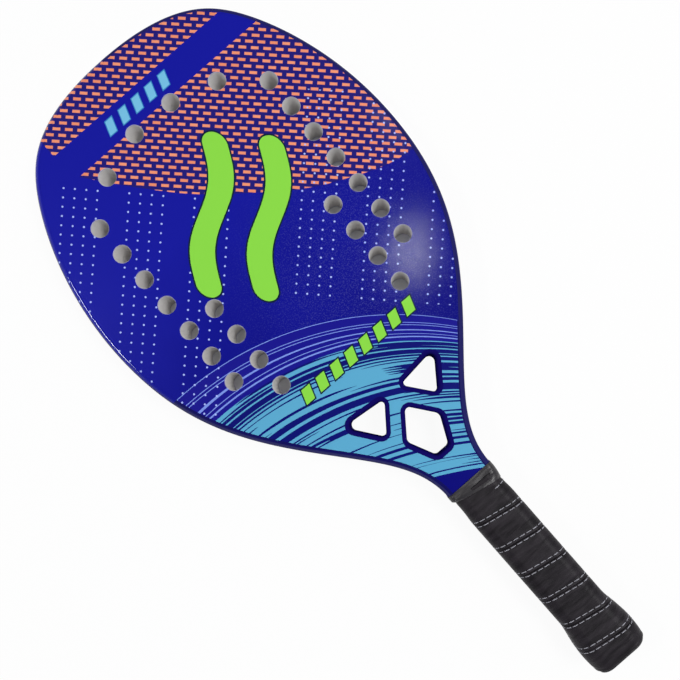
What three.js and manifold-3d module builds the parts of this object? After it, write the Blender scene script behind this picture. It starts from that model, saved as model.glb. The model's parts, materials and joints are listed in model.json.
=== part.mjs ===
// Beach tennis racket: a hollow moulded frame round a foam core, two face sheets, a pierced throat and a wound grip.
// Millimetres. The racket lies with its front face up: +Y runs from the butt to the tip and +Z out of the front face.
import * as THREE from 'three';
import { mergeVertices } from 'three/addons/utils/BufferGeometryUtils.js';
import Module from 'manifold-3d';

const wasm = await Module();
wasm.setup();

// Overall sizes. Heights along the racket are measured from the butt end.
const racketLength = 500;
const headWidth = 231;
const neckWidth = 34.6;
const neckHeight = 148;
const faceThickness = 22;
const edgeRadius = 3.2;
// Where the head is widest, as a share of the way from the neck to the tip
const widestShare = 0.5909;

// Curves of the right half of the outline, as Bezier points.
// Crown: shares of the half width and of the rise from the widest line to the tip.
const crownShares = [[0, 1], [0.475, 1], [0.623, 0.876], [0.697, 0.804], [0.802, 0.702], [1, 0.4], [1, 0]];
// Flank: shares of the way from the neck's side to the head's side and from the neck to the widest line.
const flankShares = [[1, 1], [1, 0.721], [0.789, 0.556], [0.472, 0.375], [0.203, 0.222], [0, 0.131], [0, 0]];

// Frame tube
const tubeWidth = 12.2;
const tubeWall = 1.6;
const boreChamfer = 2.5;

// Face sheets and the border of bare frame round them
const skinThickness = 1;
const borderWidth = 0.8;

// Air holes through sheets and core: side columns, inner columns and the crown's arc
const airHoleDiameter = 11.4;
const airHolePitch = 21.3;
const airHolesAboveBridge = 38.5;
const sideColumnMargin = 44.9;
const columnStep = 21;
const innerColumnCount = 4;
const crownHoleMargin = 50.1;
const crownHoleRise = 30.3;
// Shares of the side columns' distance from the middle and of the rise above their top hole
const crownHoleShares = [[0.65, 0.7], [0.2125, 1]];

// Throat yoke: the bridge between the frame's arms
const bridgeWeb = 3.5;
const bridgeRadius = 270;
const rimWidth = 3;
const rimRadius = 2.4;

// Throat openings: their sharp corners anticlockwise, as shares of half the room for them at each corner's
// height, of the rise from the lowest corner to the highest, and of the widest corner radius
const openingsAboveNeck = 24.2;
const openingsRise = 53.3;
const openingRadius = 5;
const sideOpeningShares = [[0.934, 0.557, 0.6], [0.915, 1, 0.74], [0.161, 0.931, 0.52]];
const centreOpeningShares = [
  [0.861, 0, 0.7], [0.906, 0.351, 1], [0, 0.702, 0.6], [-0.906, 0.351, 1], [-0.861, 0, 0.7],
];

// Handle core: the frame's two legs and the filler between them
const coreWidth = 24;
const coreDepth = 17.4;
const coreCornerRadius = 3;
const sleeveThickness = 1;

// Grip
const underlayThickness = 1.2;
const wrapThickness = 1.8;
const wrapPitch = 21.1;
const wrapSeam = 0.5;
const wrapEdgeChamfer = 0.45;
const wrapTaperWidth = 1.2;
// Where round the handle the winding starts, as a share of a turn
const wrapStartShare = 0.43;
// Over the heel the turns are crowded by this share of their distance below the crowding height
const crowdingHeight = 31;
const crowdingShare = 0.19;
const skiveRun = 12;

// Finishing tape: how much of it lies on the neck, on the slope down to the grip, and on the grip
const tapeThickness = 0.4;
const tapeOnNeck = 3;
const tapeSlope = 4;
const tapeOnGrip = 7;

// Butt cap
const capFloor = 3.5;
const capTop = 40;
const heelFlare = 3;
const heelCrest = 15;
const heelDrawIn = 1.3;
const lipHeight = 1.6;
const lipProud = 1.2;
const lipChamfer = 0.6;
const cordHoleDiameter = 7;
const knotPocketDepth = 12;

// Clearance between pieces that are glued or pressed together, and how far a cutter runs past what it cuts
const seatGap = 0.3;
const overrun = 2;

// Facets
const outlineSteps = 38;
const airHoleSteps = 8;
const edgeSteps = 3;
const openingCornerSteps = 5;
const handleCornerSteps = 5;
const swellRings = 8;
const wrapColumns = 4;

// Sizes that follow from the ones above
const widestHeight = THREE.MathUtils.lerp(neckHeight, racketLength, widestShare);
const halfThickness = faceThickness / 2;
const neckHalf = neckWidth / 2;
const openingBottom = neckHeight + openingsAboveNeck;
const openingTop = openingBottom + openingsRise;
const bridgeHeight = openingTop + rimWidth + bridgeWeb;
const tapeTop = neckHeight;
const neckEnd = tapeTop - tapeOnNeck;
const wrapTop = neckEnd - tapeSlope;
const tapeBottom = wrapTop - tapeOnGrip;
const slotHalf = neckHalf - tubeWidth;
const skinSeat = halfThickness - skinThickness;
const sheetInset = edgeRadius + borderWidth;
const sleeveInner = seatGap;
const sleeveOuter = sleeveInner + sleeveThickness;
const underlayInner = sleeveOuter + seatGap;
const underlayOuter = underlayInner + underlayThickness;
const wrapInner = underlayOuter + seatGap;
const wrapOuter = wrapInner + wrapThickness;
const wrapBottom = lipHeight + seatGap;
const coreFoot = capFloor + seatGap;
const skiveDepth = tapeThickness + seatGap;

// Solids: three.js geometry in, booleans, three.js geometry out

function solidOf(geometry) {
  const bare = geometry.clone();
  bare.deleteAttribute('normal');
  bare.deleteAttribute('uv');
  const merged = mergeVertices(bare);
  return new wasm.Manifold(new wasm.Mesh({
    numProp: 3,
    vertProperties: new Float32Array(merged.attributes.position.array),
    triVerts: new Uint32Array(merged.index.array),
  }));
}

function geometryOf(solid) {
  const mesh = solid.getMesh();
  const geometry = new THREE.BufferGeometry();
  geometry.setAttribute('position', new THREE.BufferAttribute(new Float32Array(mesh.vertProperties), 3));
  geometry.setIndex(new THREE.BufferAttribute(new Uint32Array(mesh.triVerts), 1));
  geometry.computeVertexNormals();
  return geometry;
}

function pieceMesh(name, geometry, color, roughness, metalness = 0) {
  const material = new THREE.MeshStandardMaterial({ color, roughness, metalness, flatShading: true });
  const mesh = new THREE.Mesh(geometry, material);
  mesh.name = name;
  return mesh;
}

// A flat plate between two heights along Z
function slab(shape, low, high) {
  const geometry = new THREE.ExtrudeGeometry(shape, {
    depth: high - low,
    bevelEnabled: false,
    curveSegments: airHoleSteps,
  });
  return geometry.translate(0, 0, low);
}

// A plate centred on the mid-plane whose edges are rounded or chamfered outwards from the given shape
function roundedSlab(shape, halfDepth, radius, segments) {
  const geometry = new THREE.ExtrudeGeometry(shape, {
    depth: 2 * (halfDepth - radius),
    bevelEnabled: true,
    bevelThickness: radius,
    bevelSize: radius,
    bevelSegments: segments,
  });
  return geometry.translate(0, 0, radius - halfDepth);
}

// A closed body through rings of equal count. Each ring runs anticlockwise as seen from the last ring.
function loft(rings, firstOutline, lastOutline) {
  const count = rings[0].length;
  const vertices = rings.flat().flatMap((point) => [point.x, point.y, point.z]);
  const faces = [];
  for (let ring = 0; ring + 1 < rings.length; ring += 1) {
    for (let side = 0; side < count; side += 1) {
      const next = (side + 1) % count;
      const [a, b] = [ring * count + side, ring * count + next];
      const [c, d] = [a + count, b + count];
      faces.push(a, b, d, a, d, c);
    }
  }
  const lastStart = (rings.length - 1) * count;
  for (const [a, b, c] of THREE.ShapeUtils.triangulateShape(firstOutline, [])) {
    faces.push(a, c, b);
  }
  for (const [a, b, c] of THREE.ShapeUtils.triangulateShape(lastOutline, [])) {
    faces.push(lastStart + a, lastStart + b, lastStart + c);
  }
  const geometry = new THREE.BufferGeometry();
  geometry.setAttribute('position', new THREE.Float32BufferAttribute(vertices, 3));
  geometry.setIndex(faces);
  geometry.computeVertexNormals();
  return geometry;
}

// Outline of the head and neck

function bezierPair(points) {
  return [
    new THREE.CubicBezierCurve(...points.slice(0, 4)),
    new THREE.CubicBezierCurve(...points.slice(3, 7)),
  ];
}

function outlineCurve() {
  const half = headWidth / 2;
  const flank = flankShares.map(([across, along]) => new THREE.Vector2(
    THREE.MathUtils.lerp(neckHalf, half, across),
    THREE.MathUtils.lerp(neckHeight, widestHeight, along),
  ));
  const crown = crownShares.map(([across, along]) => new THREE.Vector2(
    half * across,
    THREE.MathUtils.lerp(widestHeight, racketLength, along),
  ));
  const curve = new THREE.CurvePath();
  curve.curves = [...bezierPair(flank.reverse()), ...bezierPair(crown.reverse())];
  return curve;
}

const headCurve = outlineCurve();

// The outline moved inwards by an inset, cut off square at the bottom, anticlockwise from its lower right corner
function outlinePoints(inset, bottom) {
  const right = [new THREE.Vector2(neckHalf - inset, bottom)];
  for (let step = 0; step < outlineSteps; step += 1) {
    const point = headCurve.getPointAt(step / outlineSteps);
    const tangent = headCurve.getTangentAt(step / outlineSteps);
    point.add(new THREE.Vector2(-tangent.y, tangent.x).multiplyScalar(inset));
    if (point.y > bottom + seatGap) {
      right.push(point);
    }
  }
  const left = right.map((point) => new THREE.Vector2(-point.x, point.y)).reverse();
  return [...right, new THREE.Vector2(0, racketLength - inset), ...left];
}

function outlineShape(inset, bottom) {
  return new THREE.Shape(outlinePoints(inset, bottom));
}

// A band that runs up one side, over the tip and down the other, between two insets
function hairpinShape(outerInset, innerInset, bottom) {
  return new THREE.Shape([
    ...outlinePoints(outerInset, bottom),
    ...outlinePoints(innerInset, bottom).reverse(),
  ]);
}

// Air holes

// The inner columns start above the bridge, and the side columns a pitch higher, with as many holes as fit
function airHoleCentres() {
  const sideHalf = headWidth / 2 - sideColumnMargin;
  const innerStart = bridgeHeight + airHolesAboveBridge;
  const sideRoom = racketLength - crownHoleMargin - crownHoleRise - innerStart;
  const sideCount = Math.round(sideRoom / airHolePitch);
  const sideTop = innerStart + sideCount * airHolePitch;
  const right = [];
  for (let row = 1; row <= sideCount; row += 1) {
    right.push(new THREE.Vector2(sideHalf, innerStart + row * airHolePitch));
  }
  for (let row = 0; row < innerColumnCount; row += 1) {
    right.push(new THREE.Vector2(sideHalf - columnStep, innerStart + row * airHolePitch));
  }
  for (const [across, rise] of crownHoleShares) {
    right.push(new THREE.Vector2(sideHalf * across, sideTop + crownHoleRise * rise));
  }
  return right.flatMap((hole) => [hole, new THREE.Vector2(-hole.x, hole.y)]);
}

function airHolePath(centre) {
  return new THREE.Path().absarc(centre.x, centre.y, airHoleDiameter / 2, 0, 2 * Math.PI, true);
}

// Throat openings: convex corners with a radius each. Growing an opening keeps the centres of its corners.

// Half the room for openings and their rims inside the frame, at a height
function halfRoomAt(height) {
  const edge = outlinePoints(tubeWidth + seatGap + rimWidth, neckHeight).filter((point) => point.x > 0);
  const above = edge.findIndex((point) => point.y > height);
  const [low, high] = [edge[above - 1], edge[above]];
  return THREE.MathUtils.mapLinear(height, low.y, high.y, low.x, high.x);
}

function openingCorners(shares) {
  return shares.map(([across, rise, radius]) => {
    const height = THREE.MathUtils.lerp(openingBottom, openingTop, rise);
    return [halfRoomAt(height) * across, height, openingRadius * radius];
  });
}

function mirroredCorners(corners) {
  return corners.map(([x, y, radius]) => [-x, y, radius]).reverse();
}

function openingPoints(corners, growth) {
  const points = [];
  corners.forEach(([x, y, radius], index) => {
    const corner = new THREE.Vector2(x, y);
    const [beforeX, beforeY] = corners[(index + corners.length - 1) % corners.length];
    const [afterX, afterY] = corners[(index + 1) % corners.length];
    const toBefore = new THREE.Vector2(beforeX, beforeY).sub(corner).normalize();
    const toAfter = new THREE.Vector2(afterX, afterY).sub(corner).normalize();
    const halfAngle = Math.acos(toBefore.dot(toAfter)) / 2;
    const inward = toBefore.clone().add(toAfter).normalize();
    const centre = corner.clone().addScaledVector(inward, radius / Math.sin(halfAngle));
    const outwardAngle = inward.angle() + Math.PI;
    const sweep = Math.PI - 2 * halfAngle;
    for (let step = 0; step <= openingCornerSteps; step += 1) {
      const angle = outwardAngle + sweep * (step / openingCornerSteps - 1 / 2);
      const reach = radius + growth;
      points.push(new THREE.Vector2(centre.x + reach * Math.cos(angle), centre.y + reach * Math.sin(angle)));
    }
  });
  return points;
}

const sideOpening = openingCorners(sideOpeningShares);
const openings = [sideOpening, openingCorners(centreOpeningShares), mirroredCorners(sideOpening)];

// The hole through an opening's rim, flared by a quarter round at both faces
function openingCutter(corners) {
  const levels = [];
  for (let step = 0; step <= openingCornerSteps; step += 1) {
    const angle = (Math.PI / 2) * (step / openingCornerSteps);
    const growth = rimRadius * (1 - Math.sin(angle));
    levels.push([halfThickness - rimRadius * (1 - Math.cos(angle)), growth]);
  }
  const upper = [[halfThickness + overrun, rimRadius], ...levels];
  const lower = upper.map(([height, growth]) => [-height, growth]);
  const rings = [...lower, ...upper.reverse()].map(([height, growth]) => (
    openingPoints(corners, growth).map((point) => new THREE.Vector3(point.x, point.y, height))
  ));
  const end = openingPoints(corners, rimRadius);
  return solidOf(loft(rings, end, end));
}

// Moulded frame

// The handle's core section: its points and outward normals, anticlockwise
function handleSection() {
  const across = coreWidth / 2 - coreCornerRadius;
  const deep = coreDepth / 2 - coreCornerRadius;
  const section = [];
  [[1, 1], [-1, 1], [-1, -1], [1, -1]].forEach(([signX, signY], corner) => {
    for (let step = 0; step <= handleCornerSteps; step += 1) {
      const angle = (Math.PI / 2) * (corner + step / handleCornerSteps);
      const normal = new THREE.Vector2(Math.cos(angle), Math.sin(angle));
      const centre = new THREE.Vector2(signX * across, signY * deep);
      section.push({ point: centre.addScaledVector(normal, coreCornerRadius), normal });
    }
  });
  return section;
}

const coreSection = handleSection();

function sectionPoints(offset) {
  return coreSection.map(({ point, normal }) => point.clone().addScaledVector(normal, offset));
}

// Handle pieces are made standing along Z, then laid along Y
function laid(geometry) {
  return geometry.rotateX(-Math.PI / 2);
}

function handleLoft(stations) {
  const rings = stations.map(([height, offset]) => (
    sectionPoints(offset).map((point) => new THREE.Vector3(point.x, point.y, height))
  ));
  const lastOffset = stations[stations.length - 1][1];
  return laid(loft(rings, sectionPoints(stations[0][1]), sectionPoints(lastOffset)));
}

function boxSolid(lowX, highX, lowY, highY, halfDepth) {
  const geometry = new THREE.BoxGeometry(highX - lowX, highY - lowY, 2 * halfDepth);
  return solidOf(geometry.translate((lowX + highX) / 2, (lowY + highY) / 2, 0));
}

function legBore() {
  const low = slotHalf + tubeWall;
  const high = coreWidth / 2 - tubeWall;
  const top = neckEnd + tubeWall + boreChamfer;
  return boxSolid(low, high, coreFoot - overrun, top + tubeWall, coreDepth / 2 - tubeWall);
}

function frameTube() {
  const blankShape = outlineShape(edgeRadius, neckEnd - 2 * edgeRadius);
  const blank = solidOf(roundedSlab(blankShape, halfThickness, edgeRadius, edgeSteps));
  const reach = neckWidth + overrun;
  const belowNeck = boxSolid(-reach, reach, 0, neckEnd, halfThickness + overrun);
  const legs = solidOf(handleLoft([[coreFoot, 0], [neckEnd + tubeWall, 0]]));
  const inside = solidOf(slab(
    outlineShape(tubeWidth, coreFoot - overrun),
    -halfThickness - overrun,
    halfThickness + overrun,
  ));
  const bore = solidOf(roundedSlab(
    hairpinShape(tubeWall + boreChamfer, tubeWidth - tubeWall - boreChamfer, neckEnd + tubeWall + boreChamfer),
    skinSeat - tubeWall,
    boreChamfer,
    1,
  ));
  const seatShape = outlineShape(sheetInset - seatGap, tapeTop);
  const frontSeat = solidOf(slab(seatShape, skinSeat, halfThickness + overrun));
  const backSeat = solidOf(slab(seatShape, -halfThickness - overrun, -skinSeat));
  const frame = blank.subtract(belowNeck).add(legs).subtract(inside).subtract(frontSeat).subtract(backSeat);
  const hollow = frame.subtract(bore).subtract(legBore()).subtract(legBore().mirror([1, 0, 0]));
  return pieceMesh('frame_tube', geometryOf(hollow), 0x1c1d6b, 0.3);
}

// The space inside the frame, and the round end of the core in it

function insideFrame() {
  return solidOf(slab(outlineShape(tubeWidth + seatGap, neckEnd), -skinSeat, skinSeat));
}

function coreDisc(radius) {
  const geometry = new THREE.CylinderGeometry(radius, radius, faceThickness + overrun, 2 * outlineSteps);
  return solidOf(geometry.rotateX(Math.PI / 2).translate(0, bridgeHeight + bridgeRadius, 0));
}

function throatYoke() {
  let yoke = insideFrame().subtract(coreDisc(bridgeRadius + seatGap));
  for (const corners of openings) {
    const rim = new THREE.Shape(openingPoints(corners, rimWidth));
    yoke = yoke.add(solidOf(slab(rim, -halfThickness, halfThickness)));
  }
  for (const corners of openings) {
    yoke = yoke.subtract(openingCutter(corners));
  }
  return pieceMesh('throat_yoke', geometryOf(yoke), 0x1c1d6b, 0.3);
}

function foamCore() {
  let core = insideFrame().intersect(coreDisc(bridgeRadius));
  const radius = airHoleDiameter / 2;
  for (const centre of airHoleCentres()) {
    const drill = new THREE.CylinderGeometry(radius, radius, faceThickness + overrun, 2 * airHoleSteps);
    core = core.subtract(solidOf(drill.rotateX(Math.PI / 2).translate(centre.x, centre.y, 0)));
  }
  return pieceMesh('foam_core', geometryOf(core), 0x9a988c, 0.9);
}

function faceSheet(name, low) {
  const shape = outlineShape(sheetInset, tapeTop + seatGap);
  for (const centre of airHoleCentres()) {
    shape.holes.push(airHolePath(centre));
  }
  for (const corners of openings) {
    shape.holes.push(new THREE.Path(openingPoints(corners, rimWidth + seatGap).reverse()));
  }
  const geometry = geometryOf(solidOf(slab(shape, low, low + skinThickness)));
  return pieceMesh(name, geometry, 0x1e22a0, 0.25);
}

// Handle

function handleFiller() {
  const half = slotHalf - seatGap;
  const filler = boxSolid(-half, half, capFloor + knotPocketDepth, neckEnd - seatGap, coreDepth / 2);
  return pieceMesh('handle_filler', geometryOf(filler), 0xd8d2c0, 0.9);
}

function handleSleeve() {
  const top = neckEnd - seatGap;
  const outside = solidOf(handleLoft([[coreFoot, sleeveOuter], [top, sleeveOuter]]));
  const inside = solidOf(handleLoft([[coreFoot - overrun, sleeveInner], [top + overrun, sleeveInner]]));
  return pieceMesh('handle_sleeve', geometryOf(outside.subtract(inside)), 0x25272b, 0.5);
}

// From 0 to 1 along half a cosine wave
function ease(share) {
  return (1 - Math.cos(Math.PI * THREE.MathUtils.clamp(share, 0, 1))) / 2;
}

// Swell of the heel over the straight handle: fullest at the crest, drawn in a little at the end
function heelSwell(height) {
  const belowCrest = Math.max(0, (heelCrest - height) / heelCrest);
  return heelFlare * ease((capTop - height) / (capTop - heelCrest)) - heelDrawIn * belowCrest ** 2;
}

// Thinning of the underlay below the finishing tape, so that the tape lies flush with the grip
function skive(height) {
  return skiveDepth * ease((height - tapeBottom + skiveRun) / skiveRun);
}

// Offset from the core section of the surface that the strip is wound on
function gripSeat(height) {
  return underlayOuter + heelSwell(height) - skive(height);
}

function buttCap() {
  const lip = underlayOuter + lipProud + heelSwell(0);
  const stations = [[0, lip - lipChamfer], [lipChamfer, lip], [lipHeight, lip]];
  for (let ring = 0; ring <= swellRings; ring += 1) {
    const height = THREE.MathUtils.lerp(lipHeight, capTop, ring / swellRings);
    stations.push([height, gripSeat(height)]);
  }
  const outside = solidOf(handleLoft(stations));
  const inside = solidOf(handleLoft([[capFloor, underlayInner], [capTop + overrun, underlayInner]]));
  const radius = cordHoleDiameter / 2;
  const cordHole = solidOf(new THREE.CylinderGeometry(radius, radius, 2 * capFloor + overrun, 3 * airHoleSteps));
  return pieceMesh('butt_cap', geometryOf(outside.subtract(inside).subtract(cordHole)), 0x1b1a1d, 0.5);
}

function gripUnderlay() {
  const bottom = capTop + seatGap;
  const stations = [[bottom, gripSeat(bottom)]];
  for (let ring = 0; ring <= swellRings; ring += 1) {
    const height = THREE.MathUtils.lerp(tapeBottom - skiveRun, tapeBottom, ring / swellRings);
    stations.push([height, gripSeat(height)]);
  }
  stations.push([wrapTop, gripSeat(wrapTop)]);
  const outside = solidOf(handleLoft(stations));
  const inside = solidOf(handleLoft([[bottom - overrun, underlayInner], [wrapTop + overrun, underlayInner]]));
  return pieceMesh('grip_underlay', geometryOf(outside.subtract(inside)), 0x3a3a3e, 0.9);
}

// How far round the section each of its points lies, as a share of one turn
function turnShares() {
  const round = sectionPoints((wrapInner + wrapOuter) / 2);
  const lengths = [0];
  round.forEach((point, index) => {
    lengths.push(lengths[index] + point.distanceTo(round[(index + 1) % round.length]));
  });
  return lengths.slice(0, round.length).map((length) => length / lengths[round.length]);
}

// Height of the seam's middle line after a number of turns
function seamHeight(turns) {
  const height = turns * wrapPitch;
  return height + crowdingShare * Math.max(0, crowdingHeight - height);
}

// One cut through the strip, as offset and height: down along its underside, then up along its outside
function stripSection(low, high) {
  const underside = [];
  const outside = [];
  const cut = Math.min(wrapEdgeChamfer, (high - low) / 4);
  for (let column = 0; column <= wrapColumns; column += 1) {
    const under = THREE.MathUtils.lerp(high, low, column / wrapColumns);
    const over = THREE.MathUtils.lerp(low + cut, high - cut, column / wrapColumns);
    underside.push(new THREE.Vector2(gripSeat(under) + seatGap, under));
    outside.push(new THREE.Vector2(gripSeat(over) + seatGap + wrapThickness, over));
  }
  const lowEdge = new THREE.Vector2(gripSeat(low) + seatGap + wrapThickness - cut, low);
  const highEdge = new THREE.Vector2(gripSeat(high) + seatGap + wrapThickness - cut, high);
  return [...underside, lowEdge, ...outside, highEdge];
}

// The least distance between the strip's upper edge and the lower edge of the turn above it
function leastSeam(rings, perTurn) {
  const upper = [0, 2 * wrapColumns + 2, 2 * wrapColumns + 3];
  const lower = [wrapColumns, wrapColumns + 1, wrapColumns + 2];
  const nearest = new THREE.Vector3();
  let least = Infinity;
  for (let ring = 0; ring + perTurn + 1 < rings.length; ring += 1) {
    for (const high of upper) {
      for (const low of lower) {
        const edge = new THREE.Line3(rings[ring + perTurn][low], rings[ring + perTurn + 1][low]);
        edge.closestPointToPoint(rings[ring][high], true, nearest);
        least = Math.min(least, nearest.distanceTo(rings[ring][high]));
      }
    }
  }
  return least;
}

// The grip: one strip wound up the handle, cut square to the handle at both ends
function gripWrap() {
  const shares = turnShares();
  const perTurn = coreSection.length;
  const rings = [];
  const cuts = [];
  const stepCount = Math.ceil(perTurn * (wrapTop / wrapPitch + 2));
  for (let step = 0; step < stepCount; step += 1) {
    const turns = Math.floor(step / perTurn) + shares[step % perTurn] + wrapStartShare - 1;
    const low = Math.max(wrapBottom, seamHeight(turns - 1 / 2) + wrapSeam / 2);
    const high = Math.min(wrapTop, seamHeight(turns + 1 / 2) - wrapSeam / 2);
    if (high - low >= wrapTaperWidth) {
      const { point, normal } = coreSection[step % perTurn];
      const cut = stripSection(low, high);
      rings.push(cut.map(({ x: offset, y: height }) => new THREE.Vector3(
        -point.x - normal.x * offset,
        point.y + normal.y * offset,
        height,
      )));
      cuts.push(cut);
    }
  }
  const seam = leastSeam(rings, perTurn);
  console.log(`grip_wrap: ${(rings.length / perTurn).toFixed(1)} turns, least gap to itself ${seam.toFixed(2)} mm`);
  const strip = laid(loft(rings, cuts[0], cuts[cuts.length - 1]));
  return pieceMesh('grip_wrap', strip, 0x2b292d, 0.6);
}

// Finishing tape: it lies on the neck, then slopes out over the end of the grip
function collarTape() {
  const neck = { across: neckHalf, deep: halfThickness, corner: edgeRadius };
  const gripOffset = gripSeat(wrapTop) + seatGap + wrapThickness;
  const grip = {
    across: coreWidth / 2 + gripOffset,
    deep: coreDepth / 2 + gripOffset,
    corner: coreCornerRadius + gripOffset,
  };
  const ring = (seat, offset, height) => coreSection.map(({ normal, point }) => new THREE.Vector3(
    Math.sign(point.x) * (seat.across - seat.corner) + normal.x * (seat.corner + offset),
    Math.sign(point.y) * (seat.deep - seat.corner) + normal.y * (seat.corner + offset),
    height,
  ));
  const flat = (points) => points.map((point) => new THREE.Vector2(point.x, point.y));
  const sleeve = (offset, past) => {
    const rings = [
      ring(grip, offset, tapeBottom - past),
      ring(grip, offset, wrapTop),
      ring(neck, offset, neckEnd),
      ring(neck, offset, tapeTop + past),
    ];
    return solidOf(laid(loft(rings, flat(rings[0]), flat(rings[3]))));
  };
  const tape = sleeve(seatGap + tapeThickness, 0).subtract(sleeve(seatGap, overrun));
  return pieceMesh('collar_tape', geometryOf(tape), 0x242226, 0.45);
}

const racket = new THREE.Group();
racket.add(
  frameTube(),
  throatYoke(),
  foamCore(),
  faceSheet('front_skin', skinSeat),
  faceSheet('back_skin', -halfThickness),
  handleFiller(),
  handleSleeve(),
  buttCap(),
  gripUnderlay(),
  gripWrap(),
  collarTape(),
);

// The origin is below the middle of the racket, on the surface that it lies on
const extent = new THREE.Box3().setFromObject(racket);
const middle = extent.getCenter(new THREE.Vector3());
racket.position.set(-middle.x, -middle.y, -extent.min.z);

export default racket;
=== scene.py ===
"""Beach tennis racket: the fine surfaces and finishes over its packed construction.

The racket lies on its back with its front face up. +Y runs from the butt to the tip of the head. Sizes are
in millimetres and heights are measured from the butt, as a racket maker measures them. Meshes are in metres.
"""
from __future__ import annotations

import json
import logging
import math
from bisect import bisect
from collections.abc import Callable, Iterator, Sequence
from contextlib import contextmanager
from dataclasses import dataclass, field
from enum import Enum

import bpy
from mathutils import Matrix, Vector
from mathutils.geometry import interpolate_bezier

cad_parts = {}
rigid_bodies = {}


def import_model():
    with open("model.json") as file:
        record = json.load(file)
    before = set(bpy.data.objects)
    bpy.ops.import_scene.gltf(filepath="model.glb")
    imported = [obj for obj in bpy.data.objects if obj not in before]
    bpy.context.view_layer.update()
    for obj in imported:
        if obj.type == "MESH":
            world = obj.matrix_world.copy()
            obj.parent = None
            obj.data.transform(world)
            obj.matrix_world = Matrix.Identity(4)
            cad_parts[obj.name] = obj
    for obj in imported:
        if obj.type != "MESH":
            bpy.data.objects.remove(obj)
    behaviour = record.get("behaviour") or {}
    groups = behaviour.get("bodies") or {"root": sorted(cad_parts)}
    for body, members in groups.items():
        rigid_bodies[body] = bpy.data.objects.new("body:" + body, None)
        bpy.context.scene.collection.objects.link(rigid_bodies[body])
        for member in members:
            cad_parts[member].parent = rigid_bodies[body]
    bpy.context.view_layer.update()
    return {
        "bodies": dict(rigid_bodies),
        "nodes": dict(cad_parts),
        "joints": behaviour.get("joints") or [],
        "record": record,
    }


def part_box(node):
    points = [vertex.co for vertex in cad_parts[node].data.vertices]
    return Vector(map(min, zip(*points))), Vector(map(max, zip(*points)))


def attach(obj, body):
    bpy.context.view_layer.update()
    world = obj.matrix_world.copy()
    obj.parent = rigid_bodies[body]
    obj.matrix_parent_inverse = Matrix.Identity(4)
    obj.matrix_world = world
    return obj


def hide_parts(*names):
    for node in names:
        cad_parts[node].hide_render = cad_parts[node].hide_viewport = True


LOG = logging.getLogger("racket")
MM = 0.001
# two places nearer than this, in metres, count as one
CLOSE = 1e-5

Node = bpy.types.Node
Socket = bpy.types.NodeSocket
Tree = bpy.types.NodeTree
Object = bpy.types.Object
Material = bpy.types.Material
Pair = tuple[float, float]
Triple = tuple[float, float, float]


class Side(Enum):
    """The two faces of the racket."""

    FRONT = 1
    BACK = -1


class Cut(Enum):
    """What a cutter does to a body."""

    TAKE_AWAY = "DIFFERENCE"
    ADD = "UNION"
    KEEP_INSIDE = "INTERSECT"


def linear_colour(code: str) -> tuple[float, float, float, float]:
    """Turns an sRGB hex colour into linear red, green, blue and alpha."""
    parts = [int(code[start : start + 2], 16) / 255 for start in (1, 3, 5)]
    linear = [p / 12.92 if p <= 0.04045 else ((p + 0.055) / 1.055) ** 2.4 for p in parts]
    return (*linear, 1.0)


def ease(share: float) -> float:
    """From 0 to 1 along half a cosine wave."""
    return (1 - math.cos(math.pi * min(1.0, max(0.0, share)))) / 2


def add_node(tree: Tree, kind: str, inputs: dict | Sequence = (), **settings: object) -> Node:
    """Adds a node, sets its properties, and fills or links its inputs.

    Args:
        tree: the node tree that it goes into.
        kind: the node's Blender type, without the words that every shader node's type starts with.
        inputs: its inputs by name, or those in use in their order. Each is a value, an output socket, or a
            node, which stands for its first output in use.
        settings: properties of the node.

    Returns:
        The new node.
    """
    node = tree.nodes.new(f"ShaderNode{kind}")
    for name, value in settings.items():
        setattr(node, name, value)
    if not isinstance(inputs, dict):
        inputs = dict(zip((index for index, socket in enumerate(node.inputs) if socket.enabled), inputs))
    for key, value in inputs.items():
        if isinstance(value, Node):
            value = next(socket for socket in value.outputs if socket.enabled)
        if isinstance(value, Socket):
            tree.links.new(value, node.inputs[key])
        else:
            node.inputs[key].default_value = value
    return node


def empty_tree(owner: Material | bpy.types.World) -> Tree:
    """Gives a material or a world a node tree with nothing in it."""
    owner.use_nodes = True
    owner.node_tree.nodes.clear()
    return owner.node_tree


def deselect_all() -> None:
    """Leaves nothing selected, the CAD nodes included."""
    for obj in bpy.context.selected_objects:
        obj.select_set(False)


def make_active(obj: Object) -> None:
    """Selects one object alone and makes it the active one."""
    deselect_all()
    obj.select_set(True)
    bpy.context.view_layer.objects.active = obj


@contextmanager
def edit_mode(obj: Object) -> Iterator[None]:
    """Edit mode on one object, with edges as the kind of thing selected."""
    make_active(obj)
    bpy.context.tool_settings.mesh_select_mode = (False, True, False)
    bpy.ops.object.mode_set(mode="EDIT")
    yield
    bpy.ops.object.mode_set(mode="OBJECT")


def turn_outwards() -> None:
    """In edit mode, turns every face of the mesh outwards."""
    bpy.ops.mesh.select_all(action="SELECT")
    bpy.ops.mesh.normals_make_consistent(inside=False)


def apply_modifier(obj: Object, kind: str, **settings: object) -> None:
    """Adds a modifier with its settings and applies it."""
    make_active(obj)
    modifier = obj.modifiers.new(kind.lower(), kind)
    for name, value in settings.items():
        setattr(modifier, name, value)
    bpy.ops.object.modifier_apply(modifier=modifier.name)


def shape_with(obj: Object, cutter: Object, cut: Cut) -> None:
    """Cuts a body with another one, which is used up."""
    apply_modifier(obj, "BOOLEAN", operation=cut.value, object=cutter, solver="EXACT")
    bpy.data.objects.remove(cutter, do_unlink=True)


def joined(pieces: Sequence[Object], name: str) -> Object:
    """Joins several meshes into one object of the given name."""
    deselect_all()
    for piece in pieces:
        piece.select_set(True)
    bpy.context.view_layer.objects.active = pieces[0]
    bpy.ops.object.join()
    pieces[0].name = name
    return pieces[0]


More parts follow.
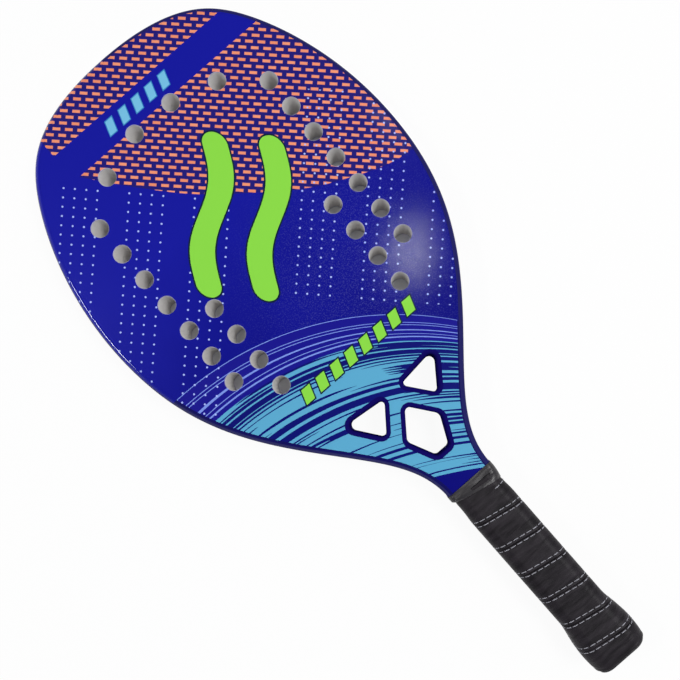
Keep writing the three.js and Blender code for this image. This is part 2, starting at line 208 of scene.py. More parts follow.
def plate(name: str, outline: Sequence[Vector], low: float, high: float) -> Object:
    """A flat plate: a filled circle laid onto an outline and extruded.

    Args:
        name: the new object's name.
        outline: the corners in the plane, in metres.
        low: the height of its underside.
        high: the height of its top.

    Returns:
        The closed plate.
    """
    deselect_all()
    bpy.ops.mesh.primitive_circle_add(vertices=len(outline), radius=1, fill_type="NGON")
    obj = bpy.context.object
    obj.name = name
    for vertex, corner in zip(obj.data.vertices, outline):
        vertex.co = (corner.x, corner.y, low)
    with edit_mode(obj):
        bpy.ops.mesh.select_all(action="SELECT")
        bpy.ops.mesh.extrude_region_move(TRANSFORM_OT_translate={"value": (0, 0, high - low)})
        turn_outwards()
    return obj


def laid_grid(name: str, rows: Sequence[Sequence[Vector]]) -> Object:
    """A flat grid laid onto rows of points in metres, welded where its edges meet."""
    deselect_all()
    bpy.ops.mesh.primitive_grid_add(x_subdivisions=len(rows[0]) - 1, y_subdivisions=len(rows) - 1, size=1)
    obj = bpy.context.object
    obj.name = name
    for vertex, point in zip(obj.data.vertices, (point for row in rows for point in row)):
        vertex.co = point
    with edit_mode(obj):
        bpy.ops.mesh.select_all(action="SELECT")
        bpy.ops.mesh.remove_doubles(threshold=1e-6)
        bpy.ops.mesh.normals_make_consistent(inside=False)
    return obj


def cylinder(radius: float, depth: float, facets: int, centre: Vector) -> Object:
    """An upright cylinder with its size in millimetres and its centre in metres."""
    deselect_all()
    bpy.ops.mesh.primitive_cylinder_add(
        vertices=facets, radius=radius * MM, depth=depth * MM, location=centre
    )
    return bpy.context.object


def round_edges(obj: Object, test: Callable[[Vector, Vector], bool], radius: float, segments: int) -> None:
    """Bevels the edges that pass a test.

    Args:
        obj: the body.
        test: says from the places of its two ends whether an edge is to be rounded.
        radius: the rounding, in millimetres.
        segments: the number of facets across it.
    """
    with edit_mode(obj):
        bpy.ops.mesh.select_all(action="DESELECT")
    vertices = obj.data.vertices
    for edge in obj.data.edges:
        edge.select = test(*(vertices[index].co for index in edge.vertices))
    with edit_mode(obj):
        bpy.ops.mesh.bevel(offset=radius * MM, segments=segments, profile=0.5, affect="EDGES")


def smooth_shading(obj: Object, degrees: float = 30.0) -> None:
    """Shades a body smooth up to an angle, with its large flat faces kept flat."""
    make_active(obj)
    bpy.ops.object.shade_smooth_by_angle(angle=math.radians(degrees))
    apply_modifier(obj, "WEIGHTED_NORMAL", keep_sharp=True, weight=100)


def dress(obj: Object, *materials: Material) -> None:
    """Gives a piece its materials, in order of their slots."""
    obj.data.materials.clear()
    for material in materials:
        obj.data.materials.append(material)


def declare(obj: Object, slot: str, *nodes: str) -> None:
    """Places a finished piece on the racket's only body and names what it stands for.

    Args:
        obj: the finished piece.
        slot: the record's material slot; not used.
        nodes: the CAD nodes that it replaces.
    """
    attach(obj, "root")
    if nodes:
        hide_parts(*nodes)
    LOG.info("piece %s: %d faces, for %s", obj.name, len(obj.data.polygons), ", ".join(nodes) or "itself")


@dataclass(frozen=True)
class Levels:
    """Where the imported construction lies, in metres.

    Attributes:
        butt: the butt end, along Y.
        front: the front face, along Z.
        back: the back face, along Z.
    """

    butt: float
    front: float
    back: float

    @classmethod
    def of_frame(cls) -> Levels:
        """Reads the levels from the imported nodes."""
        return cls(
            butt=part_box("butt_cap")[0][1],
            front=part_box("front_skin")[1][2],
            back=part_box("back_skin")[0][2],
        )

    @property
    def middle(self) -> float:
        """The mid-plane, along Z."""
        return (self.front + self.back) / 2

    def along(self, height: float) -> float:
        """The place along Y of a height above the butt in millimetres."""
        return self.butt + height * MM

    def at(self, across: float, height: float, depth: float = 0.0) -> Vector:
        """A point from millimetres across, above the butt and above the mid-plane."""
        return Vector((across * MM, self.along(height), self.middle + depth * MM))

    def beside(self, point: Vector, normal: Vector, offset: float, height: float) -> Vector:
        """A point off the handle's section, at a height above the butt."""
        return self.at(point.x + normal.x * offset, height, point.y + normal.y * offset)

    def on_a_face(self, place: Vector) -> bool:
        """Whether a place lies at the level of the front or the back face."""
        return min(abs(place.z - self.front), abs(place.z - self.back)) < CLOSE


@dataclass(frozen=True)
class Outline:
    """The racket's outline as seen from the front, from the neck round the head.

    Attributes:
        length: the whole length.
        head_width: the greatest width.
        neck_width: the width where the grip's collar ends.
        neck_height: the height of that place.
        widest_share: the widest line's share of the way from the neck to the tip.
        crown_shares: Bezier points of the right half above the widest line.
        flank_shares: Bezier points of the right half below it.
        steps: points along each Bezier curve.
        corner_room: the least distance from the corner of a cut to the next point.
    """

    length: float = 500.0
    head_width: float = 231.0
    neck_width: float = 34.6
    neck_height: float = 148.0
    widest_share: float = 0.5909
    crown_shares: tuple[Pair, ...] = (
        (1, 0), (1, 0.4), (0.802, 0.702), (0.697, 0.804), (0.623, 0.876), (0.475, 1), (0, 1),
    )
    flank_shares: tuple[Pair, ...] = (
        (0, 0), (0, 0.131), (0.203, 0.222), (0.472, 0.375), (0.789, 0.556), (1, 0.721), (1, 1),
    )
    steps: int = 36
    corner_room: float = 0.5

    @property
    def neck_half(self) -> float:
        """Half the neck's width."""
        return self.neck_width / 2

    def right_side(self) -> list[Vector]:
        """Points up the right side, from the neck to just before the tip."""
        half = self.head_width / 2
        widest = self.neck_height + self.widest_share * (self.length - self.neck_height)
        flank = [
            Vector((
                self.neck_half + across * (half - self.neck_half),
                self.neck_height + along * (widest - self.neck_height),
            ))
            for across, along in self.flank_shares
        ]
        crown = [
            Vector((half * across, widest + along * (self.length - widest)))
            for across, along in self.crown_shares
        ]
        points: list[Vector] = []
        for curve in (flank[0:4], flank[3:7], crown[0:4], crown[3:7]):
            points += [p.to_2d() for p in interpolate_bezier(*(c.to_3d() for c in curve), self.steps)][:-1]
        return points

    def half_loop(self, inset: float, bottom: float) -> list[Vector]:
        """The right side moved inwards and cut off square at a height.

        Args:
            inset: how far it is moved inwards.
            bottom: the height of the cut.

        Returns:
            Points from the cut up to just before the tip.
        """
        below = Vector((self.neck_half, self.neck_height - 1))
        path = [below, *self.right_side(), Vector((0, self.length))]
        moved = []
        for before, point, after in zip(path, path[1:], path[2:]):
            heading = (after - before).normalized()
            moved.append(point + Vector((-heading.y, heading.x)) * inset)
        corner = Vector((self.neck_half - inset, bottom))
        kept = [point for point in moved if point.y > bottom + self.corner_room]
        if bottom > self.neck_height:
            low = next(index for index, point in enumerate(moved) if point.y > bottom)
            share = (bottom - moved[low - 1].y) / (moved[low].y - moved[low - 1].y) if low else 0
            corner = moved[low - 1].lerp(moved[low], share) if low else corner
        return [corner, *kept]

    def loop(self, levels: Levels, inset: float, bottom: float) -> list[Vector]:
        """The whole outline moved inwards, anticlockwise, in metres.

        Args:
            levels: where the racket lies.
            inset: how far it is moved inwards.
            bottom: the height where it is cut off.

        Returns:
            The corners of the closed outline.
        """
        right = self.half_loop(inset, bottom)
        left = [Vector((-point.x, point.y)) for point in reversed(right)]
        tip = Vector((0, self.length - inset))
        return [levels.at(point.x, point.y) for point in (*right, tip, *left)]

    def half_width_at(self, inset: float, height: float) -> float:
        """Half the width of the inset outline at a height."""
        side = self.half_loop(inset, self.neck_height)
        above = next(index for index, point in enumerate(side) if point.y > height)
        low, high = side[above - 1], side[above]
        return low.lerp(high, (height - low.y) / (high.y - low.y)).x


@dataclass(frozen=True)
class AirHoles:
    """The air holes through sheets and core.

    Attributes:
        diameter: of each hole.
        pitch: along a column.
        inner_start: the height of the lowest hole of the inner columns.
        side_half: the side columns' distance from the middle.
        inner_half: the inner columns' distance from the middle.
        side_count: holes in a side column, which starts a pitch above the inner ones.
        inner_count: holes in an inner column.
        crown_rise: the crown's highest holes above the side columns' top.
        crown_shares: the crown's holes on the right, as shares of side_half and crown_rise.
        facets: round each hole.
    """

    diameter: float = 11.4
    pitch: float = 21.3
    inner_start: float = 270.5
    side_half: float = 70.6
    inner_half: float = 49.6
    side_count: int = 7
    inner_count: int = 4
    crown_rise: float = 30.3
    crown_shares: tuple[Pair, ...] = ((0.65, 0.7), (0.2125, 1.0))
    facets: int = 48

    def centres(self) -> list[Vector]:
        """The centre of every hole, across and above the butt."""
        top = self.inner_start + self.side_count * self.pitch
        right = [
            Vector((half, self.inner_start + row * self.pitch))
            for half, rows in (
                (self.side_half, range(1, self.side_count + 1)),
                (self.inner_half, range(self.inner_count)),
            )
            for row in rows
        ]
        right += [
            Vector((self.side_half * across, top + self.crown_rise * rise))
            for across, rise in self.crown_shares
        ]
        return right + [Vector((-centre.x, centre.y)) for centre in right]

    def drills(self, levels: Levels, depth: float) -> Object:
        """One cutter with a drill of the given depth for each hole."""
        radius = self.diameter / 2
        made = [cylinder(radius, depth, self.facets, levels.at(*centre)) for centre in self.centres()]
        drills = joined(made, "drills")
        bpy.ops.object.transform_apply(location=True, rotation=False, scale=False)
        return drills

    def near(self, levels: Levels, place: Vector, reach: float) -> bool:
        """Whether a place lies within a distance of a hole's axis, in millimetres."""
        flat = place.to_2d()
        return any((levels.at(*centre).to_2d() - flat).length < reach * MM for centre in self.centres())


@dataclass(frozen=True)
class ThroatOpenings:
    """The three rounded openings of the throat.

    Attributes:
        bottom: the height of their lowest corner.
        rise: from there to the highest corner.
        radius: of the roundest corner.
        room_inset: the inset of the outline that bounds the room for them.
        side_shares: the right opening's corners as shares of the room, the rise and the radius.
        centre_shares: the centre opening's corners, likewise.
        corner_steps: facets round each corner.
    """

    bottom: float = 172.2
    rise: float = 53.3
    radius: float = 5.0
    room_inset: float = 15.5
    side_shares: tuple[Triple, ...] = (
        (0.934, 0.557, 0.6), (0.915, 1, 0.74), (0.161, 0.931, 0.52),
    )
    centre_shares: tuple[Triple, ...] = (
        (0.861, 0, 0.7), (0.906, 0.351, 1), (0, 0.702, 0.6), (-0.906, 0.351, 1), (-0.861, 0, 0.7),
    )
    corner_steps: int = 12

    def corners(self, outline: Outline) -> list[list[tuple[Vector, float]]]:
        """The sharp corners of each opening with their radii, anticlockwise."""
        openings = []
        for shares in (self.side_shares, self.centre_shares):
            corners = []
            for across, rise, radius in shares:
                height = self.bottom + self.rise * rise
                room = outline.half_width_at(self.room_inset, height)
                corners.append((Vector((room * across, height)), self.radius * radius))
            openings.append(corners)
        mirrored = [(Vector((-corner.x, corner.y)), radius) for corner, radius in reversed(openings[0])]
        return [*openings, mirrored]

    def loops(self, outline: Outline, levels: Levels, growth: float) -> list[list[Vector]]:
        """The rounded openings, each grown outwards by an amount, in metres.

        Args:
            outline: the racket's outline.
            levels: where the racket lies.
            growth: how far the edge is moved outwards.

        Returns:
            The corners of each closed loop.
        """
        loops = []
        for corners in self.corners(outline):
            points = []
            for index, (corner, radius) in enumerate(corners):
                back = (corners[index - 1][0] - corner).normalized()
                ahead = (corners[(index + 1) % len(corners)][0] - corner).normalized()
                half = math.acos(back.dot(ahead)) / 2
                inward = (back + ahead).normalized()
                centre = corner + inward * (radius / math.sin(half))
                middle = math.atan2(-inward.y, -inward.x)
                sweep = math.pi - 2 * half
                reach = radius + growth
                for step in range(self.corner_steps + 1):
                    angle = middle + sweep * (step / self.corner_steps - 0.5)
                    points.append(
                        levels.at(centre.x + reach * math.cos(angle), centre.y + reach * math.sin(angle))
                    )
            loops.append(points)
        return loops


@dataclass
class Head:
    """The moulded frame, the foam core, the throat bridge and the two face sheets.

    Attributes:
        levels: where the racket lies.
        outline: the racket's outline.
        holes: the air holes.
        openings: the throat's openings.
        thickness: of the head.
        edge_radius: the frame's rounded edge.
        edge_segments: facets across a rounded edge.
        sheet_inset: from the outline to the face sheets.
        sheet_thickness: of each face sheet.
        tube_width: of the frame's tube.
        glue_gap: between the tube or the core and what is glued in.
        neck_end: the height where the frame becomes two legs.
        sheet_bottom: the height where the sheets end.
        handle_foot: the height where the legs end.
        leg_width: across both legs, outside.
        leg_depth: front to back.
        leg_radius: of their outer edges.
        leg_segments: facets across those.
        leg_overlap: how far the legs run up into the head.
        slot_half: half the slot between the legs.
        rim_width: of the throat openings' rims.
        rim_radius: their rounded inner edge.
        bridge_height: the top of the throat's bridge in the middle.
        bridge_radius: of its curve.
        bridge_facets: round the whole circle of that curve.
        seam: the joint between glued pieces, as it shows under the lacquer.
        chamfer: at the edge of each drilled hole.
        slack: the reach within which an edge counts as a hole's or a leg's outer edge.
        print_and_shade_reach: how upright the frame's rounding is where the print that runs onto its left
            side ends. Beyond it the steeper outer rounding keeps the frame's own darker navy lacquer, set
            this far in so that it is also painted shade where the edge turns away from the light.
        flatness: how upright the normal of a sheet's flat face is at least.
    """

    levels: Levels
    outline: Outline = field(default_factory=Outline)
    holes: AirHoles = field(default_factory=AirHoles)
    openings: ThroatOpenings = field(default_factory=ThroatOpenings)
    thickness: float = 22.0
    edge_radius: float = 3.2
    edge_segments: int = 8
    sheet_inset: float = 4.0
    sheet_thickness: float = 1.0
    tube_width: float = 12.2
    glue_gap: float = 0.3
    neck_end: float = 145.0
    sheet_bottom: float = 148.2
    handle_foot: float = 3.8
    leg_width: float = 24.0
    leg_depth: float = 17.4
    leg_radius: float = 3.0
    leg_segments: int = 6
    leg_overlap: float = 1.0
    slot_half: float = 5.1
    rim_width: float = 3.0
    rim_radius: float = 2.4
    bridge_height: float = 232.0
    bridge_radius: float = 270.0
    bridge_facets: int = 256
    seam: float = 0.04
    chamfer: float = 0.15
    slack: float = 0.1
    print_and_shade_reach: float = 0.72
    flatness: float = 0.98

    @property
    def half(self) -> float:
        """Half the head's thickness."""
        return self.thickness / 2

    @property
    def inner_half(self) -> float:
        """Half the thickness between the face sheets."""
        return self.half - self.sheet_thickness

    def layer(self, name: str, loop: Sequence[Vector], low: float, high: float) -> Object:
        """A plate between two levels in millimetres above the mid-plane."""
        return plate(name, loop, self.levels.middle + low * MM, self.levels.middle + high * MM)

    def slab(self, name: str, inset: float, bottom: float, half_depth: float) -> Object:
        """A plate of the inset outline, centred on the mid-plane."""
        return self.layer(name, self.outline.loop(self.levels, inset, bottom), -half_depth, half_depth)

    def leg(self, side: int) -> Object:
        """One of the frame's legs inside the handle, with its outer edges rounded."""
        outer = self.leg_width / 2
        top = self.neck_end + self.leg_overlap
        corners = [
            self.levels.at(side * across, height)
            for across, height in (
                (self.slot_half, self.handle_foot),
                (outer, self.handle_foot),
                (outer, top),
                (self.slot_half, top),
            )
        ]
        leg = self.layer("leg", corners[::side], -self.leg_depth / 2, self.leg_depth / 2)
        outside = (outer - self.slack) * MM
        round_edges(
            leg,
            lambda a, b: min(abs(a.x), abs(b.x)) > outside and abs(a.y - b.y) > self.leg_depth * MM,
            self.leg_radius,
            self.leg_segments,
        )
        return leg

    def frame(self) -> Object:
        """The moulded frame: rounded outside, with seats for the sheets, open inside, on two legs."""
        levels = self.levels
        frame = self.slab("moulded_frame", 0, self.neck_end, self.half)
        neck = levels.along(self.neck_end) + CLOSE
        round_edges(
            frame,
            lambda a, b: levels.on_a_face(a) and a.z == b.z and max(a.y, b.y) > neck,
            self.edge_radius,
            self.edge_segments,
        )
        inside = self.slab("inside", self.tube_width, self.handle_foot, self.thickness)
        shape_with(frame, inside, Cut.TAKE_AWAY)
        for side in Side:
            low, high = sorted((side.value * self.inner_half, side.value * self.thickness))
            loop = self.outline.loop(levels, self.sheet_inset - self.seam, self.sheet_bottom - self.seam)
            shape_with(frame, self.layer("seat", loop, low, high), Cut.TAKE_AWAY)
        for side in (1, -1):
            shape_with(frame, self.leg(side), Cut.ADD)
        smooth_shading(frame)
        return frame

    def bridge_disc(self, gap: float) -> Object:
        """The round end of the foam core, as a cutter."""
        centre = self.levels.at(0, self.bridge_height + self.bridge_radius)
        disc = cylinder(self.bridge_radius + gap, 2 * self.thickness, self.bridge_facets, centre)
        bpy.ops.object.transform_apply(location=True, rotation=False, scale=False)
        return disc

    def core(self) -> Object:
        """The foam core: a block with a round lower end, drilled through."""
        core = self.slab("core_block", self.tube_width + self.glue_gap, self.neck_end, self.inner_half)
        shape_with(core, self.bridge_disc(0), Cut.KEEP_INSIDE)
        shape_with(core, self.holes.drills(self.levels, 2 * self.thickness), Cut.TAKE_AWAY)
        smooth_shading(core)
        return core

    def throat(self) -> Object:
        """The throat's bridge, with a rounded rim at each opening."""
        levels = self.levels
        bridge = self.slab("throat_bridge", self.tube_width + self.glue_gap, self.neck_end, self.inner_half)
        shape_with(bridge, self.bridge_disc(self.glue_gap), Cut.TAKE_AWAY)
        for loop in self.openings.loops(self.outline, levels, self.rim_width):
            shape_with(bridge, plate("rim", loop, levels.back, levels.front), Cut.ADD)
        holes = self.openings.loops(self.outline, levels, 0)
        for loop in holes:
            way = self.layer("way_through", loop, -self.thickness, self.thickness)
            shape_with(bridge, way, Cut.TAKE_AWAY)
        edge = [point.to_2d() for loop in holes for point in loop]

        def on_rim(place: Vector) -> bool:
            """Whether a corner lies on the rim of an opening."""
            return levels.on_a_face(place) and any((place.to_2d() - point).length < CLOSE for point in edge)

        round_edges(
            bridge, lambda a, b: a.z == b.z and on_rim(a) and on_rim(b), self.rim_radius, self.edge_segments
        )
        smooth_shading(bridge)
        return bridge

    def sheet(self, side: Side) -> Object:
        """A face sheet, drilled, cut round the throat's rims, with a chamfer at each air hole."""
        levels = self.levels
        low, high = sorted((side.value * self.inner_half, side.value * self.half))
        loop = self.outline.loop(levels, self.sheet_inset, self.sheet_bottom)
        sheet = self.layer(f"{side.name.lower()}_sheet", loop, low, high)
        shape_with(sheet, self.holes.drills(levels, 2 * self.thickness), Cut.TAKE_AWAY)
        for rim in self.openings.loops(self.outline, levels, self.rim_width + self.seam):
            shape_with(sheet, self.layer("rim", rim, -self.thickness, self.thickness), Cut.TAKE_AWAY)
        edge = self.holes.diameter / 2 + self.slack
        round_edges(
            sheet,
            lambda a, b: levels.on_a_face(a) and a.z == b.z and self.holes.near(levels, a.lerp(b, 0.5), edge),
            self.chamfer,
            segments=2,
        )
        smooth_shading(sheet)
        return sheet

    def mark_cut_edges(self, sheet: Object) -> None:
        """Gives the walls and chamfers of the air holes the sheet's second material."""
        reach = self.holes.diameter / 2 + 2 * self.chamfer
        for face in sheet.data.polygons:
            aslant = abs(face.normal.z) < self.flatness
            face.material_index = int(aslant and self.holes.near(self.levels, face.center, reach))

    def mark_printed_edges(self, frame: Object) -> None:
        """Gives the rounding on the head's left side the print of the face that it turns to. Its steeper
        outer part keeps the darker navy lacquer, the frame's own paint, placed there also as painted shade.
        """
        for face in frame.data.polygons:
            beside_head = face.center.x < 0 and face.center.y > self.levels.along(self.neck_end)
            # partly painted shade: where the rounding turns steeply away, the print gives way to the darker
            # navy lacquer
            if beside_head and abs(face.normal.z) > self.print_and_shade_reach:
                face.material_index = 1 if face.normal.z > 0 else 2

    def build(self) -> None:
        """Builds and dresses the head's pieces."""
        frame = self.frame()
        dress(frame, FrameLacquer().material(), *(FramePrint(side).material() for side in Side))
        self.mark_printed_edges(frame)
        declare(frame, "lacquered_frame", "frame_tube")
        bridge = self.throat()
        dress(bridge, DRY_LACQUER.material())
        declare(bridge, "lacquered_frame", "throat_yoke")
        core = self.core()
        dress(core, DrilledFoam().material())
        declare(core, "eva_foam", "foam_core")
        cut_edge = CutLaminate().material()
        for side in Side:
            sheet = self.sheet(side)
            dress(sheet, PrintedSheet(side).material(), cut_edge)
            self.mark_cut_edges(sheet)
            declare(sheet, "printed_sheet", f"{side.name.lower()}_skin")


@dataclass(frozen=True)
class HandleSection:
    """The handle's core section, a rounded rectangle that everything on the handle follows.

    Attributes:
        width: across the racket.
        depth: front to back.
        radius: of its corners.
        corner_steps: facets round a corner.
        flat_steps: stretches along a flat side.
    """

    width: float = 24.0
    depth: float = 17.4
    radius: float = 3.0
    corner_steps: int = 9
    flat_steps: int = 3

    def rounded(self) -> list[tuple[Vector, Vector]]:
        """Points and outward normals, anticlockwise as seen from the head, from the right side on."""
        across = self.width / 2 - self.radius
        deep = self.depth / 2 - self.radius
        places = ((across, deep), (-across, deep), (-across, -deep), (across, -deep))
        centres = [Vector(place) for place in places]
        section = []
        for corner, centre in enumerate(centres):
            for step in range(self.corner_steps + 1):
                angle = math.pi / 2 * (corner + step / self.corner_steps)
                normal = Vector((math.cos(angle), math.sin(angle)))
                section.append((centre + normal * self.radius, normal))
            following = centres[(corner + 1) % 4]
            for step in range(1, self.flat_steps):
                between = centre.lerp(following, step / self.flat_steps)
                section.append((between + normal * self.radius, normal))
        return section

    def shares(self, offset: float) -> list[float]:
        """How far round the grown section each point lies, as a share of one turn."""
        points = [point + normal * offset for point, normal in self.rounded()]
        lengths = [0.0]
        for here, there in zip(points, points[1:] + points[:1]):
            lengths.append(lengths[-1] + (there - here).length)
        return [length / lengths[-1] for length in lengths[:-1]]


@dataclass
class Grip:
    """The wound grip with its stitching, the finishing tape and the butt cap.

    Attributes:
        levels: where the racket lies.
        section: the handle's core section.
        seat: from the core section to the underside of the strip on the straight handle.
        thickness: of the strip.
        pitch: the strip's rise in one turn.
        seam: the gap between turns.
        bottom: the height where the strip starts.
        top: the height where it ends.
        start_share: where round the handle the winding starts.
        crowding_height: below this height the turns are crowded.
        crowding_share: by this share of the distance below it.
        taper_width: of the strip at its very ends.
        edge_shares: places across the strip's rounded edge, as shares of its width.
        face_shares: places across the flat between its edges.
        underside_shares: places across its underside.
        heel_top: the height where the heel's flare starts.
        heel_crest: the height where it is fullest.
        heel_flare: its depth.
        heel_draw_in: how far it is drawn in at the very end.
        tape_bottom: the height where the finishing tape starts.
        tape_top: the height where it ends, on the neck.
        tape_over: the height where it has passed from the grip to the neck.
        tape_lead: how far below its lower edge it starts to.
        tape_slant: how much higher its lower edge lies on the left.
        tape_pucker: how far it stands off where it leaves the grip.
        pucker_share: the share of its height that is puckered.
        tape_seat: the tape's clearance over what it lies on.
        tape_thickness: of the tape.
        tape_rings: rings of points from its lower edge to its top.
        neck: the neck's section.
        wrap_gap: the strip's clearance over what it is wound on.
        core_gap: from the core section to the inside of the butt cap.
        lip_height: of the cap's lip below the strip.
        lip_proud: how far the lip stands out.
        lip_chamfer: its rounded edge.
        lip_shares: points on that edge: rises and depths as shares of lip_chamfer.
        cap_floor: the thickness of the cap's end wall.
        cap_rings: rings of points up the cap's outside.
        cord_hole: the diameter of the hole for a wrist cord.
        hole_chamfer: at its ends.
        skive_run: the length over which the underlay thins below the tape.
        skive_spare: how much deeper it thins than the tape is thick.
        roll: the radius of the strip's rounded edges.
        row_drop: how far the stitches pull the strip in.
        row_width: half the width of the groove that they draw.
        first_stitch: the height where the stitch rows start.
        last_room: from the last stitch of a row to the tape.
        upper_row: the upper stitch row above the seam.
        lower_row: the lower stitch row below the seam.
        stitch_length: of one stitch.
        stitch_pitch: from one stitch to the next.
        thread: the thread's diameter.
        bluntness: how blunt a stitch's ends are: 1 leaves them round and 0 makes them square.
        sag: how far the winding hangs down in each turn.
        sag_turn: where in a turn it hangs lowest.
        tail_row: the height of the last bit of stitching on the right.
        tail_lift: how far that stands off the strip.
    """

    levels: Levels
    section: HandleSection = field(default_factory=HandleSection)
    seat: float = 3.1
    thickness: float = 1.8
    pitch: float = 21.1
    seam: float = 0.16
    bottom: float = 1.9
    top: float = 143.2
    start_share: float = 0.487
    crowding_height: float = 31.0
    crowding_share: float = 0.19
    taper_width: float = 1.2
    edge_shares: tuple[float, ...] = (0, 0.006, 0.018, 0.04, 0.07, 0.105, 0.15)
    face_shares: tuple[float, ...] = (0.26, 0.38, 0.5, 0.62, 0.74)
    underside_shares: tuple[float, ...] = (1, 0.66, 0.33, 0)
    heel_top: float = 40.0
    heel_crest: float = 15.0
    heel_flare: float = 3.0
    heel_draw_in: float = 1.3
    tape_bottom: float = 135.8
    tape_top: float = 148.0
    tape_over: float = 144.3
    tape_lead: float = 0.5
    tape_slant: float = 7.1
    tape_pucker: float = 0.35
    pucker_share: float = 0.55
    tape_seat: float = 0.1
    tape_thickness: float = 0.4
    tape_rings: int = 16
    neck: HandleSection = field(default_factory=lambda: HandleSection(width=34.6, depth=22.0, radius=3.2))
    wrap_gap: float = 0.3
    core_gap: float = 1.6
    lip_height: float = 1.6
    lip_proud: float = 1.2
    lip_chamfer: float = 0.6
    lip_shares: tuple[Pair, ...] = ((0, 2.2), (0.25, 0.9), (1, 0.2), (1.6, 0))
    cap_floor: float = 3.5
    cap_rings: int = 10
    cord_hole: float = 7.0
    hole_chamfer: float = 0.4
    skive_run: float = 12.0
    skive_spare: float = 0.3
    roll: float = 0.5
    row_drop: float = 0.2
    row_width: float = 0.7
    first_stitch: float = 12.0
    last_room: float = 0.6
    upper_row: float = 2.3
    lower_row: float = 1.1
    stitch_length: float = 3.8
    stitch_pitch: float = 4.7
    thread: float = 0.62
    bluntness: float = 0.4
    sag: float = 0.5
    sag_turn: float = 0.307
    tail_row: float = 133.4
    tail_lift: float = 0.1

    def swell(self, height: float) -> float:
        """The heel's swell over the straight handle at a height."""
        rise = (self.heel_top - height) / (self.heel_top - self.heel_crest)
        below = max(0.0, (self.heel_crest - height) / self.heel_crest)
        return self.heel_flare * ease(rise) - self.heel_draw_in * below**2

    def skive(self, height: float) -> float:
        """The thinning below the finishing tape at a height."""
        depth = self.tape_thickness + self.skive_spare
        return depth * ease((height - self.tape_bottom + self.skive_run) / self.skive_run)

    def surface(self, height: float) -> float:
        """Offset of the strip's outside from the core section at a height."""
        return self.seat + self.swell(height) - self.skive(height) + self.thickness

    def seam_height(self, turns: float) -> float:
        """The height of the seam's middle line after a number of turns."""
        height = turns * self.pitch - self.sag * math.cos(math.tau * (turns + 0.5 - self.sag_turn))
        return height + self.crowding_share * max(0.0, self.crowding_height - height)

    def relief(self, height: float, low: float, high: float) -> float:
        """How far the strip lies below its even surface, rounded at its edges and pulled in by stitches."""
        inward = min(height - low, high - height)
        past = max(0.0, 1 - inward / self.roll)
        edge = self.roll * (1 - math.sqrt(max(0.0, 1 - past**2)))
        rows = (height - low - self.upper_row + self.seam / 2, high - height - self.lower_row + self.seam / 2)
        return edge + sum(self.row_drop * math.exp(-((row / self.row_width) ** 2)) for row in rows)

    def turns(self) -> Iterator[tuple[Vector, Vector, float]]:
        """Each cut through the strip: its section point, outward normal and number of turns."""
        shares = self.section.shares(self.seat + self.thickness / 2)
        rounded = self.section.rounded()
        for step in range(math.ceil(len(rounded) * (self.top / self.pitch + 2))):
            whole, index = divmod(step, len(rounded))
            point, normal = rounded[index]
            yield -point, -normal, whole + shares[index] + self.start_share - 1

    def strip(self) -> Object:
        """The grip strip: a closed section carried up the handle by the winding and filled at both ends."""
        far_edge = (1 - share for share in reversed(self.edge_shares))
        outside = (*self.edge_shares, *self.face_shares, *far_edge)
        rows = []
        for point, normal, turns in self.turns():
            low = max(self.bottom, self.seam_height(turns - 0.5) + self.seam / 2)
            high = min(self.top, self.seam_height(turns + 0.5) - self.seam / 2)
            if high - low < self.taper_width:
                continue
            row = []
            for share in outside:
                height = low + (high - low) * share
                offset = self.surface(height) - self.relief(height, low, high)
                row.append(self.levels.beside(point, normal, offset, height))
            for share in self.underside_shares:
                height = low + (high - low) * share
                row.append(self.levels.beside(point, normal, self.surface(height) - self.thickness, height))
            rows.append([*row, row[0]])
        strip = laid_grid("grip_strip", rows)
        with edit_mode(strip):
            bpy.ops.mesh.select_all(action="SELECT")
            bpy.ops.mesh.fill_holes(sides=0)
            bpy.ops.mesh.normals_make_consistent(inside=False)
        smooth_shading(strip, degrees=50)
        return strip

    def row_path(self, rise: float) -> list[tuple[Vector, Vector]]:
        """Where a stitch row runs on the strip.

        Args:
            rise: the row's distance above the seam, or below it where it is negative.

        Returns:
            Places and outward normals along the row, in metres.
        """
        path = []
        for point, normal, turns in self.turns():
            height = self.seam_height(turns - 0.5) + rise
            offset = self.surface(height) - self.row_drop
            if self.first_stitch < height < self.tape_edge(point.x + normal.x * offset) - self.last_room:
                place = self.levels.beside(point, normal, offset, height)
                path.append((place, Vector((normal.x, 0, normal.y))))
        return path

    def tail_path(self) -> list[tuple[Vector, Vector]]:
        """Where the last stitches run, on the right below the tape."""
        section = self.section.rounded()
        offset = self.surface(self.tail_row) + self.tail_lift
        return [
            (self.levels.beside(point, normal, offset, self.tail_row), Vector((normal.x, 0, normal.y)))
            for point, normal in (section[-1], *section[: self.section.corner_steps + 2])
        ]

    def thread_bead(self) -> Object:
        """One stitch, lying along X: a sphere drawn out to a blunt-ended length of thread."""
        deselect_all()
        bpy.ops.mesh.primitive_uv_sphere_add(segments=6, ring_count=8, radius=1)
        bead = bpy.context.object
        for vertex in bead.data.vertices:
            around = vertex.co.to_2d()
            blunt = around.normalized() * around.length**self.bluntness if around.length > CLOSE else around
            vertex.co = Vector((
                vertex.co.z * self.stitch_length / 2 * MM,
                blunt.x * self.thread / 2 * MM,
                blunt.y * self.thread / 2 * MM,
            ))
        return bead

    def stitches(self) -> Object:
        """The rows of stitches: one bead of thread, modelled once, copied and bent along each row."""
        bead = self.thread_bead()
        made = []
        for path in (self.row_path(self.upper_row), self.row_path(-self.lower_row), self.tail_path()):
            lengths = [0.0]
            for (here, _), (there, _) in zip(path, path[1:]):
                lengths.append(lengths[-1] + (there - here).length)

